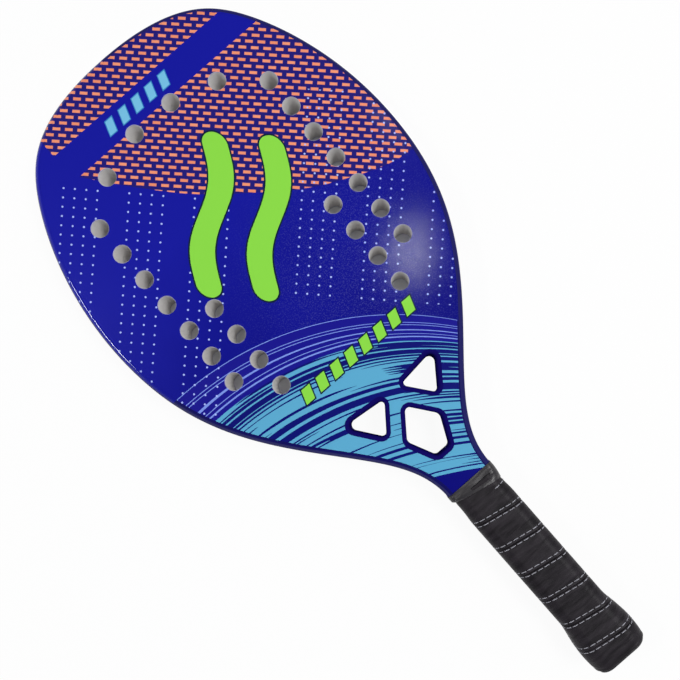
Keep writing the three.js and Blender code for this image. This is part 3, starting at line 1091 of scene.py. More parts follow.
            def bent(place: Vector, start: float) -> Vector:
                """A point of the bead laid along the row from a distance on it."""
                index = bisect(lengths, start + place.x) - 1
                (here, normal), (there, following) = path[index], path[index + 1]
                share = (start + place.x - lengths[index]) / (lengths[index + 1] - lengths[index])
                outward = normal.lerp(following, share)
                across = outward.cross(there - here).normalized()
                return here.lerp(there, share) + across * place.y + outward * place.z

            start = self.stitch_pitch * MM
            while start < lengths[-1] - self.stitch_pitch * MM:
                stitch = bpy.data.objects.new("stitch", bead.data.copy())
                for vertex in stitch.data.vertices:
                    vertex.co = bent(vertex.co, start)
                bpy.context.collection.objects.link(stitch)
                made.append(stitch)
                start += self.stitch_pitch * MM
        bpy.data.objects.remove(bead, do_unlink=True)
        stitches = joined(made, "grip_stitches")
        with edit_mode(stitches):
            turn_outwards()
        smooth_shading(stitches, degrees=60)
        return stitches

    def tape_edge(self, across: float) -> float:
        """The height of the tape's slanted lower edge, from millimetres across."""
        reach = self.section.width / 2 + self.seat + self.thickness
        return self.tape_bottom + self.tape_slant * (1 - min(1.0, max(-1.0, across / reach))) / 2

    def tape(self) -> Object:
        """The finishing tape: a puckered sleeve from the end of the grip up onto the neck, cut aslant."""
        end = self.surface(self.top)
        rows = []
        for ring in range(self.tape_rings):
            share = ring / (self.tape_rings - 1)
            row = []
            for (point, normal), (beyond, _) in zip(self.section.rounded(), self.neck.rounded()):
                low = self.tape_edge(point.x + normal.x * end)
                height = low + (self.tape_top - low) * share
                passed = ease((height - low + self.tape_lead) / (self.tape_over - low + self.tape_lead))
                pucker = self.tape_pucker * math.sin(math.pi * min(1.0, share / self.pucker_share)) ** 2
                offset = self.tape_seat + self.tape_thickness + pucker * (1 - passed)
                place = (point + normal * end).lerp(beyond, passed) + normal * offset
                row.append(self.levels.at(place.x, height, place.y))
            rows.append([*row, row[0]])
        tape = laid_grid("finishing_tape", rows)
        apply_modifier(tape, "SOLIDIFY", thickness=self.tape_thickness * MM, offset=-1, use_rim=True)
        smooth_shading(tape, degrees=50)
        return tape

    def cap(self) -> Object:
        """The butt cap: one closed profile carried round the handle, with its cord hole and inner pocket."""
        wall = self.seat - self.wrap_gap
        lip = wall + self.lip_proud + self.swell(0)
        outer = [(self.lip_chamfer * rise, lip - self.lip_chamfer * depth) for rise, depth in self.lip_shares]
        outer.append((self.lip_height, lip))
        for ring in range(self.cap_rings + 1):
            height = self.lip_height + (self.heel_top - self.lip_height) * ring / self.cap_rings
            outer.append((height, wall + self.swell(height)))
        inner = [(self.heel_top, self.core_gap), (self.cap_floor, self.core_gap)]
        hole = self.cord_hole / 2
        bevel = self.hole_chamfer
        rows = []
        for point, normal in self.section.rounded():
            around = point.normalized()
            row = [(height, point + normal * offset) for height, offset in (*outer, *inner)]
            row += [(self.cap_floor, around * (hole + bevel)), (self.cap_floor - bevel, around * hole)]
            row += [(bevel, around * hole), (0, around * (hole + bevel))]
            ring = [self.levels.at(place.x, height, place.y) for height, place in row]
            rows.append([*ring, ring[0]])
        cap = laid_grid("heel_cap", [*rows, rows[0]])
        smooth_shading(cap, degrees=35)
        return cap

    def build(self) -> None:
        """Builds and dresses the grip's pieces."""
        for piece, finish, slot, nodes in (
            (self.strip(), GripLeather(), "grip_leather", ("grip_wrap",)),
            (self.stitches(), StitchThread(), "grip_leather", ()),
            (self.tape(), FinishingTape(), "finishing_tape", ("collar_tape",)),
            (self.cap(), MOULDED_CAP, "moulded_cap", ("butt_cap",)),
        ):
            dress(piece, finish.material())
            declare(piece, slot, *nodes)


class Finish:
    """A finish, which builds its own material round a Principled BSDF."""

    name: str

    def inputs(self, tree: Tree) -> dict:
        """The shader's inputs, with the nodes behind them."""
        raise NotImplementedError

    def material(self) -> Material:
        """Builds the material."""
        material = bpy.data.materials.new(self.name)
        tree = empty_tree(material)
        shader = add_node(tree, "BsdfPrincipled", self.inputs(tree))
        add_node(tree, "OutputMaterial", (shader,))
        return material


def noise_relief(
    tree: Tree, place: Socket | Node, size: float, detail: float, strength: float, rise: float
) -> Node:
    """A soft random relief.

    Args:
        tree: the material's tree.
        place: the coordinates that it follows.
        size: the size of its bumps in their unit.
        detail: how many finer layers it has.
        strength: how strongly it stands out.
        rise: its height in millimetres.

    Returns:
        The bump node, for a shader's normal.
    """
    noise = add_node(tree, "TexNoise", {"Vector": place, "Scale": 1 / size, "Detail": detail})
    return add_node(tree, "Bump", {"Height": noise, "Strength": strength, "Distance": rise * MM})


@dataclass(frozen=True)
class FrameLacquer(Finish):
    """Navy polyurethane lacquer, sprayed over the mouldings: deep and even.

    Attributes:
        name: the material's name.
        paint: its colour.
        roughness: its roughness.
        gloss: its specular level.
    """

    name: str = "navy_lacquer"
    paint: str = "#0E0C5C"
    roughness: float = 0.75
    gloss: float = 0.28

    def inputs(self, tree: Tree) -> dict:
        """The even lacquer."""
        return {
            "Base Color": linear_colour(self.paint),
            "Roughness": self.roughness,
            "Specular IOR Level": self.gloss,
        }


# the throat's openings are sprayed dry, so they have no gloss
DRY_LACQUER = FrameLacquer("dry_lacquer", "#140D60", gloss=0.0)


@dataclass(frozen=True)
class CutLaminate(Finish):
    """The drilled edge of a glass-fibre sheet: pale, dry resin."""

    name: str = "cut_laminate"
    resin: str = "#C9C6DC"
    roughness: float = 0.6

    def inputs(self, tree: Tree) -> dict:
        """The cut edge."""
        return {"Base Color": linear_colour(self.resin), "Roughness": self.roughness}


@dataclass(frozen=True)
class DrilledFoam(Finish):
    """EVA foam, drilled: a matt pale grey with fine closed cells.

    Attributes:
        name: the material's name.
        foam: the cells' colour.
        shade: the colour of their walls.
        cell: their size.
        depth: of each.
        strength: how strongly they stand out.
        roughness: the foam's roughness.
    """

    name: str = "drilled_foam"
    foam: str = "#E6E4E2"
    shade: str = "#DBD9D7"
    cell: float = 0.5
    depth: float = 0.1
    strength: float = 0.4
    roughness: float = 0.9

    def inputs(self, tree: Tree) -> dict:
        """The foam and its cells."""
        place = add_node(tree, "TexCoord").outputs["Object"]
        cells = add_node(tree, "TexVoronoi", {"Vector": place, "Scale": 1 / (self.cell * MM)})
        inks = (linear_colour(self.foam), linear_colour(self.shade))
        return {
            "Base Color": add_node(tree, "Mix", (cells, *inks), data_type="RGBA"),
            "Roughness": self.roughness,
            "Normal": add_node(
                tree, "Bump", {"Height": cells, "Strength": self.strength, "Distance": self.depth * MM}
            ),
        }


@dataclass(frozen=True)
class InkGround:
    """The flat blue ink that the rest is printed on, a little deeper towards the throat.

    Attributes:
        upper: the blue of the head.
        lower: the blue of the throat.
        heights: between which one passes into the other.
        cloud: the size of its faint unevenness.
        glint_size: the size of the painted glints, pale specks that stand in for the lacquer's grit catching
            the light.
        glint_colour: their colour.
        glint_noise: the levels of noise between which a glint fades in.
        brightest_glint: how strongly the glints show where they show most.
        glint_middle: where that is.
        glint_reach: how far from there they are full, and gone.
    """

    upper: str = "#1418A0"
    lower: str = "#04067E"
    heights: Pair = (225.0, 400.0)
    cloud: float = 60.0
    glint_size: float = 0.75
    glint_colour: str = "#D2D2F0"
    glint_noise: Pair = (0.5, 0.8)
    brightest_glint: float = 0.08
    glint_middle: Triple = (35.0, 288.0, 0.0)
    glint_reach: Pair = (35.0, 100.0)

    def painted_glints(self, tree: Tree, spot: Node, colour: Node) -> Node:
        """Scatters painted glints over the ink: pale specks, strongest round one place, that stand in for the
        lacquer's grit catching the light.
        """
        # painted light: pale specks mixed into the ink, fading with distance from one place, stand in for
        # glints of the lacquer's grit
        away = add_node(tree, "VectorMath", (spot, self.glint_middle), operation="DISTANCE")
        fade = add_node(tree, "MapRange", (away, *self.glint_reach, self.brightest_glint, 0.0))
        grains = add_node(tree, "TexNoise", {"Vector": spot, "Scale": 1 / self.glint_size, "Detail": 1.0})
        strength = add_node(tree, "MapRange", (grains, *self.glint_noise, 0.0, fade))
        return add_node(tree, "Mix", (strength, colour, linear_colour(self.glint_colour)), data_type="RGBA")

    def over(self, tree: Tree, spot: Node) -> Node:
        """Lays the ink.

        Args:
            tree: the material's tree.
            spot: the place on the sheet in millimetres, across and above the butt.

        Returns:
            The node that gives the colour.
        """
        height = add_node(tree, "SeparateXYZ", (spot,)).outputs["Y"]
        cloud = add_node(tree, "TexNoise", {"Vector": spot, "Scale": 1 / self.cloud})
        uneven = add_node(tree, "Math", (cloud, 2 * self.cloud, height), operation="MULTIPLY_ADD")
        share = add_node(tree, "MapRange", (uneven, *(level + self.cloud for level in self.heights)))
        inks = (linear_colour(self.lower), linear_colour(self.upper))
        # the ink, with the painted glints over it
        return self.painted_glints(tree, spot, add_node(tree, "Mix", (share, *inks), data_type="RGBA"))


@dataclass(frozen=True)
class DotField:
    """Fine light dots in slanting columns, four together and then a gap.

    Attributes:
        ink: the dots' colour.
        origin: where a group of columns starts, across and above the butt.
        column_pitch: between columns.
        dot_pitch: along a column.
        group_pitch: from one group of columns to the next.
        group_width: the part of it that has columns.
        radius: of a dot.
        blur: of its edge.
        throat_line: across plus height where the field ends.
        top_line: across plus height where it starts.
        left_edge: distance along a row from the origin where the left field ends.
        right_edge: where the right field starts, likewise.
        left_shift: how far its dots are moved against the others, along a row and along a column.
        left_top: across plus height where it starts.
        skew: how far the rows lean against the columns.
    """

    ink: str = "#AEBEFF"
    origin: Pair = (70.15, 327.19)
    column_pitch: float = 7.15
    dot_pitch: float = 5.84
    group_pitch: float = 41.4
    group_width: float = 28.6
    radius: float = 0.62
    blur: float = 0.12
    throat_line: float = 301.0
    top_line: float = 485.0
    left_edge: float = -79.8
    right_edge: float = -43.0
    left_shift: Pair = (15.83, 4.31)
    left_top: float = 386.0
    skew: float = 0.0165

    def over(self, tree: Tree, spot: Node, below: Node) -> Node:
        """Lays the dots over a colour."""
        slant = (0, 0, -math.pi / 4)
        turned = add_node(tree, "Mapping", (spot, (*self.origin, 0), slant), vector_type="TEXTURE")
        across, along, _ = add_node(tree, "SeparateXYZ", (turned,)).outputs
        left = add_node(tree, "Math", (across, self.left_edge), operation="LESS_THAN")
        shifted = add_node(tree, "Math", (left, -self.left_shift[0], across), operation="MULTIPLY_ADD")
        in_group = add_node(tree, "Math", (shifted, self.group_pitch), operation="FLOORED_MODULO")
        present = add_node(tree, "Math", (in_group, self.group_width), operation="LESS_THAN")
        skewed = add_node(tree, "Math", (across, self.skew, along), operation="MULTIPLY_ADD")
        raised = add_node(tree, "Math", (left, self.left_shift[1], skewed), operation="MULTIPLY_ADD")
        cell = add_node(tree, "CombineXYZ", (in_group, raised))
        size = (self.column_pitch, self.dot_pitch, 1)
        counted = add_node(tree, "VectorMath", (cell, size), operation="DIVIDE")
        within = add_node(tree, "VectorMath", (counted,), operation="FRACTION")
        centred = add_node(tree, "VectorMath", (within, (0.5, 0.5, 0)), operation="SUBTRACT")
        measured = add_node(tree, "VectorMath", (centred, size), operation="MULTIPLY")
        reach = add_node(tree, "VectorMath", (measured,), operation="LENGTH")
        share = add_node(tree, "MapRange", (reach, self.radius + self.blur, self.radius - self.blur))
        x, y, _ = add_node(tree, "SeparateXYZ", (spot,)).outputs
        diagonal = add_node(tree, "Math", (x, y), operation="ADD")
        past = add_node(tree, "Math", (diagonal, self.throat_line), operation="GREATER_THAN")
        right = add_node(tree, "Math", (across, self.right_edge), operation="GREATER_THAN")
        upper = add_node(tree, "Math", (past, right), operation="MULTIPLY")
        in_field = add_node(tree, "Math", (upper, left), operation="MAXIMUM")
        over_top = add_node(tree, "Math", (diagonal, self.left_top), operation="GREATER_THAN")
        too_high = add_node(tree, "Math", (over_top, left), operation="MULTIPLY")
        started = add_node(tree, "Math", (1.0, too_high), operation="SUBTRACT")
        under = add_node(tree, "Math", (diagonal, self.top_line), operation="LESS_THAN")
        for limit in (present, in_field, started, under):
            share = add_node(tree, "Math", (share, limit), operation="MULTIPLY")
        return add_node(tree, "Mix", (share, below, linear_colour(self.ink)), data_type="RGBA")


@dataclass(frozen=True)
class DashField:
    """Orange dashes laid like bricks on a purplish blue, in two fields with a plain band between them.

    Attributes:
        inks: the dashes' two near colours.
        ground: the colour between them.
        centre: of one dash, across and above the butt.
        pitch: along a row of dashes.
        row: from row to row.
        dash: a dash's width, along its row and across it.
        blur: of its edges.
        left: how far to the left the fields reach.
        band: the plain band's heights.
        edge_left: the left end of the curve that ends the lower field.
        edge_width: the width that the curve spans.
        edge_low: the lowest height on it.
        edge_rise: its rise.
        edge_shares: the curve's points as shares of width and rise.
    """

    inks: tuple[str, str] = ("#FA9C78", "#F18E6C")
    ground: str = "#221C78"
    centre: Pair = (78.9, 422.9)
    pitch: float = 7.82
    row: float = 3.91
    dash: Pair = (4.7, 1.75)
    blur: float = 0.08
    left: float = -61.0
    band: Pair = (451.5, 471.6)
    edge_left: float = -60.0
    edge_width: float = 176.0
    edge_low: float = 320.0
    edge_rise: float = 140.0
    edge_shares: tuple[Pair, ...] = (
        (0, 0.964), (0.166, 0.7), (0.302, 0.516), (0.432, 0.381),
        (0.598, 0.226), (0.729, 0.14), (0.889, 0.061), (1, 0.043),
    )

    def bricks(self, tree: Tree, spot: Node) -> Node:
        """The dashes themselves: bricks of the dash's size in wide joints, on the slant."""
        stretch = (self.pitch - self.dash[0]) / (self.row - self.dash[1])
        shift = self.row / 2 / math.sqrt(2)
        corner = (self.centre[0] - shift, self.centre[1] - shift, 0)
        turned = add_node(
            tree, "Mapping", (spot, corner, (0, 0, -math.pi / 4), (1, 1 / stretch, 1)), vector_type="TEXTURE"
        )
        return add_node(tree, "TexBrick", {
            "Vector": turned,
            "Color1": linear_colour(self.inks[0]),
            "Color2": linear_colour(self.inks[1]),
            "Mortar": linear_colour(self.ground),
            "Scale": 1.0,
            "Mortar Size": (self.pitch - self.dash[0]) / 2,
            "Mortar Smooth": self.blur,
            "Brick Width": self.pitch,
            "Row Height": self.row * stretch,
        })

    def over(self, tree: Tree, spot: Node, below: Node) -> Node:
        """Lays both fields over a colour."""
        x, y, _ = add_node(tree, "SeparateXYZ", (spot,)).outputs
        along = add_node(tree, "MapRange", (x, self.edge_left, self.edge_left + self.edge_width))
        curve = add_node(tree, "FloatCurve", {"Value": along})
        points = curve.mapping.curves[0].points
        points[0].location = self.edge_shares[0]
        points[1].location = self.edge_shares[-1]
        for share in self.edge_shares[1:-1]:
            points.new(*share)
        curve.mapping.update()
        edge = add_node(tree, "Math", (curve, self.edge_rise, self.edge_low), operation="MULTIPLY_ADD")
        over_edge = add_node(tree, "Math", (y, edge), operation="GREATER_THAN")
        right = add_node(tree, "Math", (x, self.left), operation="GREATER_THAN")
        middle = sum(self.band) / 2
        in_band = add_node(tree, "Math", (y, middle, self.band[1] - middle), operation="COMPARE")
        share = add_node(tree, "Math", (1.0, in_band), operation="SUBTRACT")
        for limit in (over_edge, right):
            share = add_node(tree, "Math", (share, limit), operation="MULTIPLY")
        return add_node(tree, "Mix", (share, below, self.bricks(tree, spot)), data_type="RGBA")


@dataclass(frozen=True)
class ArcStrokes:
    """Brushed arcs across the throat: fine light lines, then pale bands with dark strokes, then plain navy.

    Attributes:
        centre: of the outermost arc, across and above the butt.
        radius: of that arc.
        reach: how far the pattern goes down from it.
        night: the dark ink among the outer lines.
        line: the ink of the outer lines.
        pale: the ink of the pale bands.
        navy: the ink of the strokes and bands.
        deep: the plain ink before the collar.
        lines: distances from the outermost arc where a light line starts and ends.
        bands: distances where a pale band starts and ends, and how dense its fine strokes lie.
        least_dense: a band less dense than this has no strokes.
        lean_start: distances over which the arcs begin to lean against the outermost one.
        lean_depths: distances where they lean one way and the other.
        leans: their rise there, as shares of the distance from the pivot.
        pivot: the place across about which they lean.
        pivot_reach: the places across where the lean stops growing.
        calm_middle: the place across where the strokes are fewest.
        left_share: how fast they crowd towards the left, against the right.
        crowd_reach: distances from there where they begin to crowd, and where they crowd most.
        sparseness: the level of noise that makes a stroke where there are no others.
        crowd_shares: how far that level falls at those distances, at full density.
        stroke_length: the usual length of a fine stroke.
        stroke_pitch: the usual distance between fine strokes.
    """

    centre: Pair = (-100.0, 102.0)
    radius: float = 204.0
    reach: float = 128.0
    night: str = "#191690"
    line: str = "#7F98EC"
    pale: str = "#5EAED4"
    navy: str = "#0A1072"
    deep: str = "#04047A"
    lines: tuple[Pair, ...] = (
        (0, 0.45), (6.2, 6.8), (8.5, 8.8), (12.9, 13.6), (16.8, 17.4), (19.3, 20.2),
    )
    bands: tuple[Triple, ...] = (
        (23.2, 27.4, 0.6), (29.5, 30.4, 0.0), (33.6, 34.4, 0.0), (35.7, 36.7, 0.0), (38.0, 54.0, 0.6),
        (56.5, 58.4, 0.0), (62.8, 90.0, 0.6), (90.0, 98.5, 0.25), (100.5, 102.6, 0.0), (105.0, 112.0, 0.01),
        (112.0, 124.4, 0.5),
    )
    least_dense: float = 0.1
    lean_start: Pair = (10.5, 17.5)
    lean_depths: Pair = (60.0, 100.0)
    leans: Pair = (0.04, -0.03)
    pivot: float = -30.0
    pivot_reach: Pair = (-100.0, 5.0)
    calm_middle: float = -28.0
    left_share: float = 0.6
    crowd_reach: Pair = (12.0, 60.0)
    sparseness: float = 0.7
    crowd_shares: Pair = (-0.07, -0.34)
    stroke_length: float = 85.0
    stroke_pitch: float = 1.7

    def depth(self, tree: Tree, spot: Node) -> Node:
        """How far a place lies below the outermost arc."""
        x, y, _ = add_node(tree, "SeparateXYZ", (spot,)).outputs
        off = add_node(tree, "Math", (x, self.centre[0]), operation="SUBTRACT")
        squared = add_node(tree, "Math", (off, off), operation="MULTIPLY")
        rest = add_node(tree, "Math", (self.radius**2, squared), operation="SUBTRACT")
        root = add_node(tree, "Math", (rest,), operation="SQRT")
        top = add_node(tree, "Math", (root, self.centre[1]), operation="ADD")
        return add_node(tree, "Math", (top, y), operation="SUBTRACT")

    def fanned(self, tree: Tree, x: Socket, depth: Node) -> Node:
        """The depth once more, with the inner arcs leaning a little against the outer ones."""
        lean = add_node(tree, "MapRange", (depth, *self.lean_depths, *self.leans))
        start = add_node(tree, "MapRange", (depth, *self.lean_start))
        leaning = add_node(tree, "Math", (lean, start), operation="MULTIPLY")
        reach = self.pivot_reach
        off = add_node(tree, "MapRange", (x, *reach, *(end - self.pivot for end in reach)))
        return add_node(tree, "Math", (leaning, off, depth), operation="MULTIPLY_ADD")

    def strokes(self, tree: Tree, x: Socket, fanned: Node, density: Socket) -> Node:
        """Where the fine strokes are, thicker and closer together towards both sides."""
        place = add_node(tree, "CombineXYZ", (x, fanned))
        size = (1 / self.stroke_length, 1 / self.stroke_pitch, 0)
        drawn = add_node(tree, "VectorMath", (place, size), operation="MULTIPLY")
        brush = add_node(
            tree, "TexNoise", {"Vector": drawn, "Scale": 1.0, "Detail": 0.0}, noise_dimensions="2D"
        )
        to_right = add_node(tree, "Math", (x, self.calm_middle), operation="SUBTRACT")
        to_left = add_node(tree, "Math", (to_right, -self.left_share), operation="MULTIPLY")
        away = add_node(tree, "Math", (to_right, to_left), operation="MAXIMUM")
        crowding = add_node(tree, "MapRange", (away, *self.crowd_reach, *self.crowd_shares))
        level = add_node(tree, "Math", (crowding, density, self.sparseness), operation="MULTIPLY_ADD")
        stroke = add_node(tree, "Math", (brush, level), operation="GREATER_THAN")
        on_band = add_node(tree, "Math", (density, self.least_dense), operation="GREATER_THAN")
        return add_node(tree, "Math", (stroke, on_band), operation="MULTIPLY")

    def over(self, tree: Tree, spot: Node, below: Node) -> Node:
        """Lays the arcs over a colour."""
        x = add_node(tree, "SeparateXYZ", (spot,)).outputs["X"]
        depth = self.depth(tree, spot)
        fanned = self.fanned(tree, x, depth)
        ramp = add_node(tree, "ValToRGB", (add_node(tree, "MapRange", (fanned, 0.0, self.reach)),))
        self.fill(ramp)
        strokes = self.strokes(tree, x, fanned, ramp.outputs["Alpha"])
        inked = add_node(tree, "Mix", (strokes, ramp, linear_colour(self.navy)), data_type="RGBA")
        inside = add_node(tree, "Math", (depth, 0.0), operation="GREATER_THAN")
        return add_node(tree, "Mix", (inside, below, inked), data_type="RGBA")

    def fill(self, ramp: Node) -> None:
        """Fills the ramp with the lines and bands. Its alpha says how dense the fine strokes lie."""
        stops = {}
        for start, end in self.lines:
            stops[start] = (self.line, 0.0)
            stops[end] = (self.night, 0.0)
        for start, end, strokes in self.bands:
            stops[start] = (self.pale, strokes)
            stops[end] = (self.navy, 0.0)
        stops[end] = (self.deep, 0.0)
        bands = ramp.color_ramp
        bands.interpolation = "CONSTANT"
        while len(bands.elements) < len(stops):
            bands.elements.new(1.0)
        for element, (distance, (ink, strokes)) in zip(bands.elements, stops.items()):
            element.position = distance / self.reach
            element.color = (*linear_colour(ink)[:3], strokes)


@dataclass(frozen=True)
class BareEdge:
    """Plain navy lacquer over the frame along the throat, where the arcs end at the sheet's edge."""

    arcs: ArcStrokes = ArcStrokes()

    def over(self, tree: Tree, spot: Node, below: Node) -> Node:
        """Lays the lacquer over a colour."""
        inside = add_node(tree, "Math", (self.arcs.depth(tree, spot), 0.0), operation="GREATER_THAN")
        return add_node(tree, "Mix", (inside, below, linear_colour(FrameLacquer.paint)), data_type="RGBA")


@dataclass(frozen=True)
class OutlinedInk:
    """An ink and the line round the shapes that are printed with it.

    Attributes:
        ink: the shape's colour.
        outline: the line's colour.
        line: the line's width.
    """

    ink: str
    outline: str
    line: float

    def over(self, tree: Tree, reach: Node, edge: float, below: Node) -> Node:
        """Prints a shape and the line round it.

        Args:
            tree: the material's tree.
            reach: the distance from the shape's spine.
            edge: the distance where the shape ends.
            below: the colour that it is printed on.

        Returns:
            The node that gives the colour.
        """
        for limit, ink in ((edge + self.line, self.outline), (edge, self.ink)):
            inside = add_node(tree, "Math", (reach, limit), operation="LESS_THAN")
            below = add_node(tree, "Mix", (inside, below, linear_colour(ink)), data_type="RGBA")
        return below


@dataclass(frozen=True)
class WavyBars:
    """Two broad wavy bars of lime ink with a dark outline.

    Attributes:
        inks: their ink and its line.
        centre: of the pair, across and above the butt.
        slant: their slope in degrees.
        half_length: half a bar's length.
        half_width: half its width.
        spacing: half the distance between the bars.
        swing: how far the wave swings to each side.
        wave: its length.
    """

    inks: OutlinedInk = OutlinedInk("#8FE04A", "#12223A", line=1.1)
    centre: Pair = (2.0, 366.0)
    slant: float = 45.0
    half_length: float = 52.0
    half_width: float = 8.0
    spacing: float = 18.0
    swing: float = 4.5
    wave: float = 84.0

    def over(self, tree: Tree, spot: Node, below: Node) -> Node:
        """Lays the bars over a colour."""
        slope = (0, 0, math.radians(self.slant))
        turned = add_node(tree, "Mapping", (spot, (*self.centre, 0), slope), vector_type="TEXTURE")
        along, up, _ = add_node(tree, "SeparateXYZ", (turned,)).outputs
        phase = add_node(tree, "Math", (along, 2 * math.pi / self.wave), operation="MULTIPLY")
        wave = add_node(tree, "Math", (phase,), operation="SINE")
        bent = add_node(tree, "Math", (wave, self.swing, up), operation="MULTIPLY_ADD")
        folded = add_node(tree, "Math", (bent,), operation="ABSOLUTE")
        across = add_node(tree, "Math", (folded, self.spacing), operation="SUBTRACT")
        length = add_node(tree, "Math", (along,), operation="ABSOLUTE")
        past = add_node(tree, "Math", (length, self.half_length - self.half_width), operation="SUBTRACT")
        end = add_node(tree, "Math", (past, 0.0), operation="MAXIMUM")
        from_spine = add_node(tree, "CombineXYZ", (end, across))
        reach = add_node(tree, "VectorMath", (from_spine,), operation="LENGTH")
        return self.inks.over(tree, reach, self.half_width, below)


@dataclass(frozen=True)
class SlantedTicks:
    """A row of slanted ticks with an outline.

    Attributes:
        inks: their ink and its line.
        start: the left end of the row, across and above the butt.
        count: of ticks.
        pitch: from tick to tick.
        half_width: half a tick's width.
        half_height: half its height.
        slant: its lean, as a share of its height.
    """

    inks: OutlinedInk
    start: Pair
    count: int
    pitch: float
    half_width: float
    half_height: float
    slant: float = 0.35

    def over(self, tree: Tree, spot: Node, below: Node) -> Node:
        """Lays the ticks over a colour."""
        moved = add_node(tree, "VectorMath", (spot, (*self.start, 0)), operation="SUBTRACT")
        x, y, _ = add_node(tree, "SeparateXYZ", (moved,)).outputs
        upright = add_node(tree, "Math", (y, -self.slant, x), operation="MULTIPLY_ADD")
        in_pitch = add_node(tree, "Math", (upright, self.pitch), operation="FLOORED_MODULO")
        across = add_node(tree, "Math", (in_pitch, self.pitch / 2), operation="SUBTRACT")
        middle = self.count * self.pitch / 2
        in_row = add_node(tree, "Math", (upright, middle, middle), operation="COMPARE")
        reaches = []
        for part, half in ((across, self.half_width), (y, self.half_height)):
            size = add_node(tree, "Math", (part,), operation="ABSOLUTE")
            reaches.append(add_node(tree, "Math", (size, half), operation="SUBTRACT"))
        reach = add_node(tree, "Math", reaches, operation="MAXIMUM")
        inked = self.inks.over(tree, reach, 0.0, below)
        return add_node(tree, "Mix", (in_row, below, inked), data_type="RGBA")


HEAD_LAYERS = (
    DashField(),
    DotField(),
    WavyBars(),
    SlantedTicks(
        OutlinedInk("#8FE04A", "#12223A", line=0.9),
        start=(-46.0, 254.0), count=8, pitch=12.0, half_width=3.4, half_height=4.6,
    ),
    SlantedTicks(
        OutlinedInk("#79C4E8", "#3D8FCB", line=0.6),
        start=(-27.0, 462.2), count=5, pitch=11.0, half_width=2.6, half_height=4.4,
    ),
)


@dataclass(frozen=True)
class PrintedSheet(Finish):
    """A screen-printed glass-fibre sheet under clear polyurethane lacquer with a fine grit in it.

    Attributes:
        side: the face that it lies on. The back's print is turned, so that it reads as the front's does.
        place: what is printed, the sheet or the frame round it.
        layers: the print, from the lowest layer up.
        register: how far the print lies off the sheet's middle, as the press left it.
        turn: how far it is turned there, in degrees.
        ink_roughness: the ink's roughness under the lacquer.
        ink_gloss: its specular level there.
        grit: the size of the grit in the lacquer.
        grit_rise: its height.
        relief: how strongly it stands out.
        clear_coat: the weight of the lacquer's gloss.
        softness: the roughness of its gloss.
    """

    side: Side
    place: str = "sheet"
    layers: tuple = (ArcStrokes(), *HEAD_LAYERS)
    register: Pair = (0.8, -1.2)
    turn: float = -0.18
    ink_roughness: float = 0.4
    ink_gloss: float = 0.05
    grit: float = 0.7
    grit_rise: float = 0.1
    relief: float = 0.32
    clear_coat: float = 0.7
    softness: float = 0.08

    @property
    def name(self) -> str:
        """The material's name."""
        return f"printed_{self.side.name.lower()}_{self.place}"

    def inputs(self, tree: Tree) -> dict:
        """The print under its lacquer."""
        middle = (self.register[0], Outline().length / 2 + self.register[1], 0)
        scale = (self.side.value / MM, 1 / MM, 1 / MM)
        place = add_node(tree, "TexCoord").outputs["Object"]
        spot = add_node(tree, "Mapping", (place, middle, (0, 0, math.radians(self.turn)), scale))
        colour = InkGround().over(tree, spot)
        for layer in self.layers:
            colour = layer.over(tree, spot, colour)
        return {
            "Base Color": colour,
            "Roughness": self.ink_roughness,
            "Specular IOR Level": self.ink_gloss,
            "Coat Weight": self.clear_coat,
            "Coat Roughness": self.softness,
            "Coat Normal": noise_relief(
                tree, spot, self.grit, detail=1.0, strength=self.relief, rise=self.grit_rise
            ),
        }


@dataclass(frozen=True)
class FramePrint(PrintedSheet):
    """The print where it runs over onto the frame's rounding, under a smoother lacquer."""

    place: str = "frame"
    layers: tuple = (*HEAD_LAYERS, BareEdge())
    relief: float = 0.1
    clear_coat: float = 1.0
    softness: float = 0.05


@dataclass(frozen=True)
class GripLeather(Finish):
    """Smooth polyurethane synthetic leather: black with a soft sheen and a fine pressed grain.

    Attributes:
        name: the material's name.
        black: its colour.
        crest_highlight: its colour on the highest parts of the creases, a painted highlight.
        crest_highlight_levels: the levels of the creases between which that painted highlight fades in.
        grain: the size of the pressed grain.
        crease: the height of the soft creases round the grip.
        crease_length: how many times as long as high a crease is.
        crease_rise: how far a crease stands out.
        roughness: its roughness.
        gloss: its specular level.
    """

    name: str = "grip_leather"
    black: str = "#19161A"
    crest_highlight: str = "#2A262B"
    crest_highlight_levels: Pair = (0.35, 0.65)
    grain: float = 0.6
    crease: float = 3.5
    crease_length: float = 5.0
    crease_rise: float = 0.9
    roughness: float = 0.5
    gloss: float = 0.16

    def inputs(self, tree: Tree) -> dict:
        """The leather with its grain and creases, and painted highlights on the creases' crests."""
        place = add_node(tree, "TexCoord").outputs["Object"]
        grain = noise_relief(tree, place, self.grain * MM, detail=3.0, strength=0.25, rise=0.1)
        tall = 1 / (self.crease * MM)
        wide = 1 / (self.crease * self.crease_length * MM)
        stretched = add_node(tree, "VectorMath", (place, (wide, tall, wide)), operation="MULTIPLY")
        creases = add_node(tree, "TexNoise", {"Vector": stretched, "Scale": 1.0, "Detail": 2.0})
        # painted light: the leather is mixed lighter where the crease relief stands highest, as if the crests
        # caught the light
        crest_highlight = add_node(tree, "MapRange", (creases, *self.crest_highlight_levels))
        inks = (linear_colour(self.black), linear_colour(self.crest_highlight))
        return {
            "Base Color": add_node(tree, "Mix", (crest_highlight, *inks), data_type="RGBA"),
            "Roughness": self.roughness,
            "Specular IOR Level": self.gloss,
            "Normal": add_node(tree, "Bump", {
                "Height": creases, "Strength": 1.0, "Distance": self.crease_rise * MM, "Normal": grain,
            }),
        }


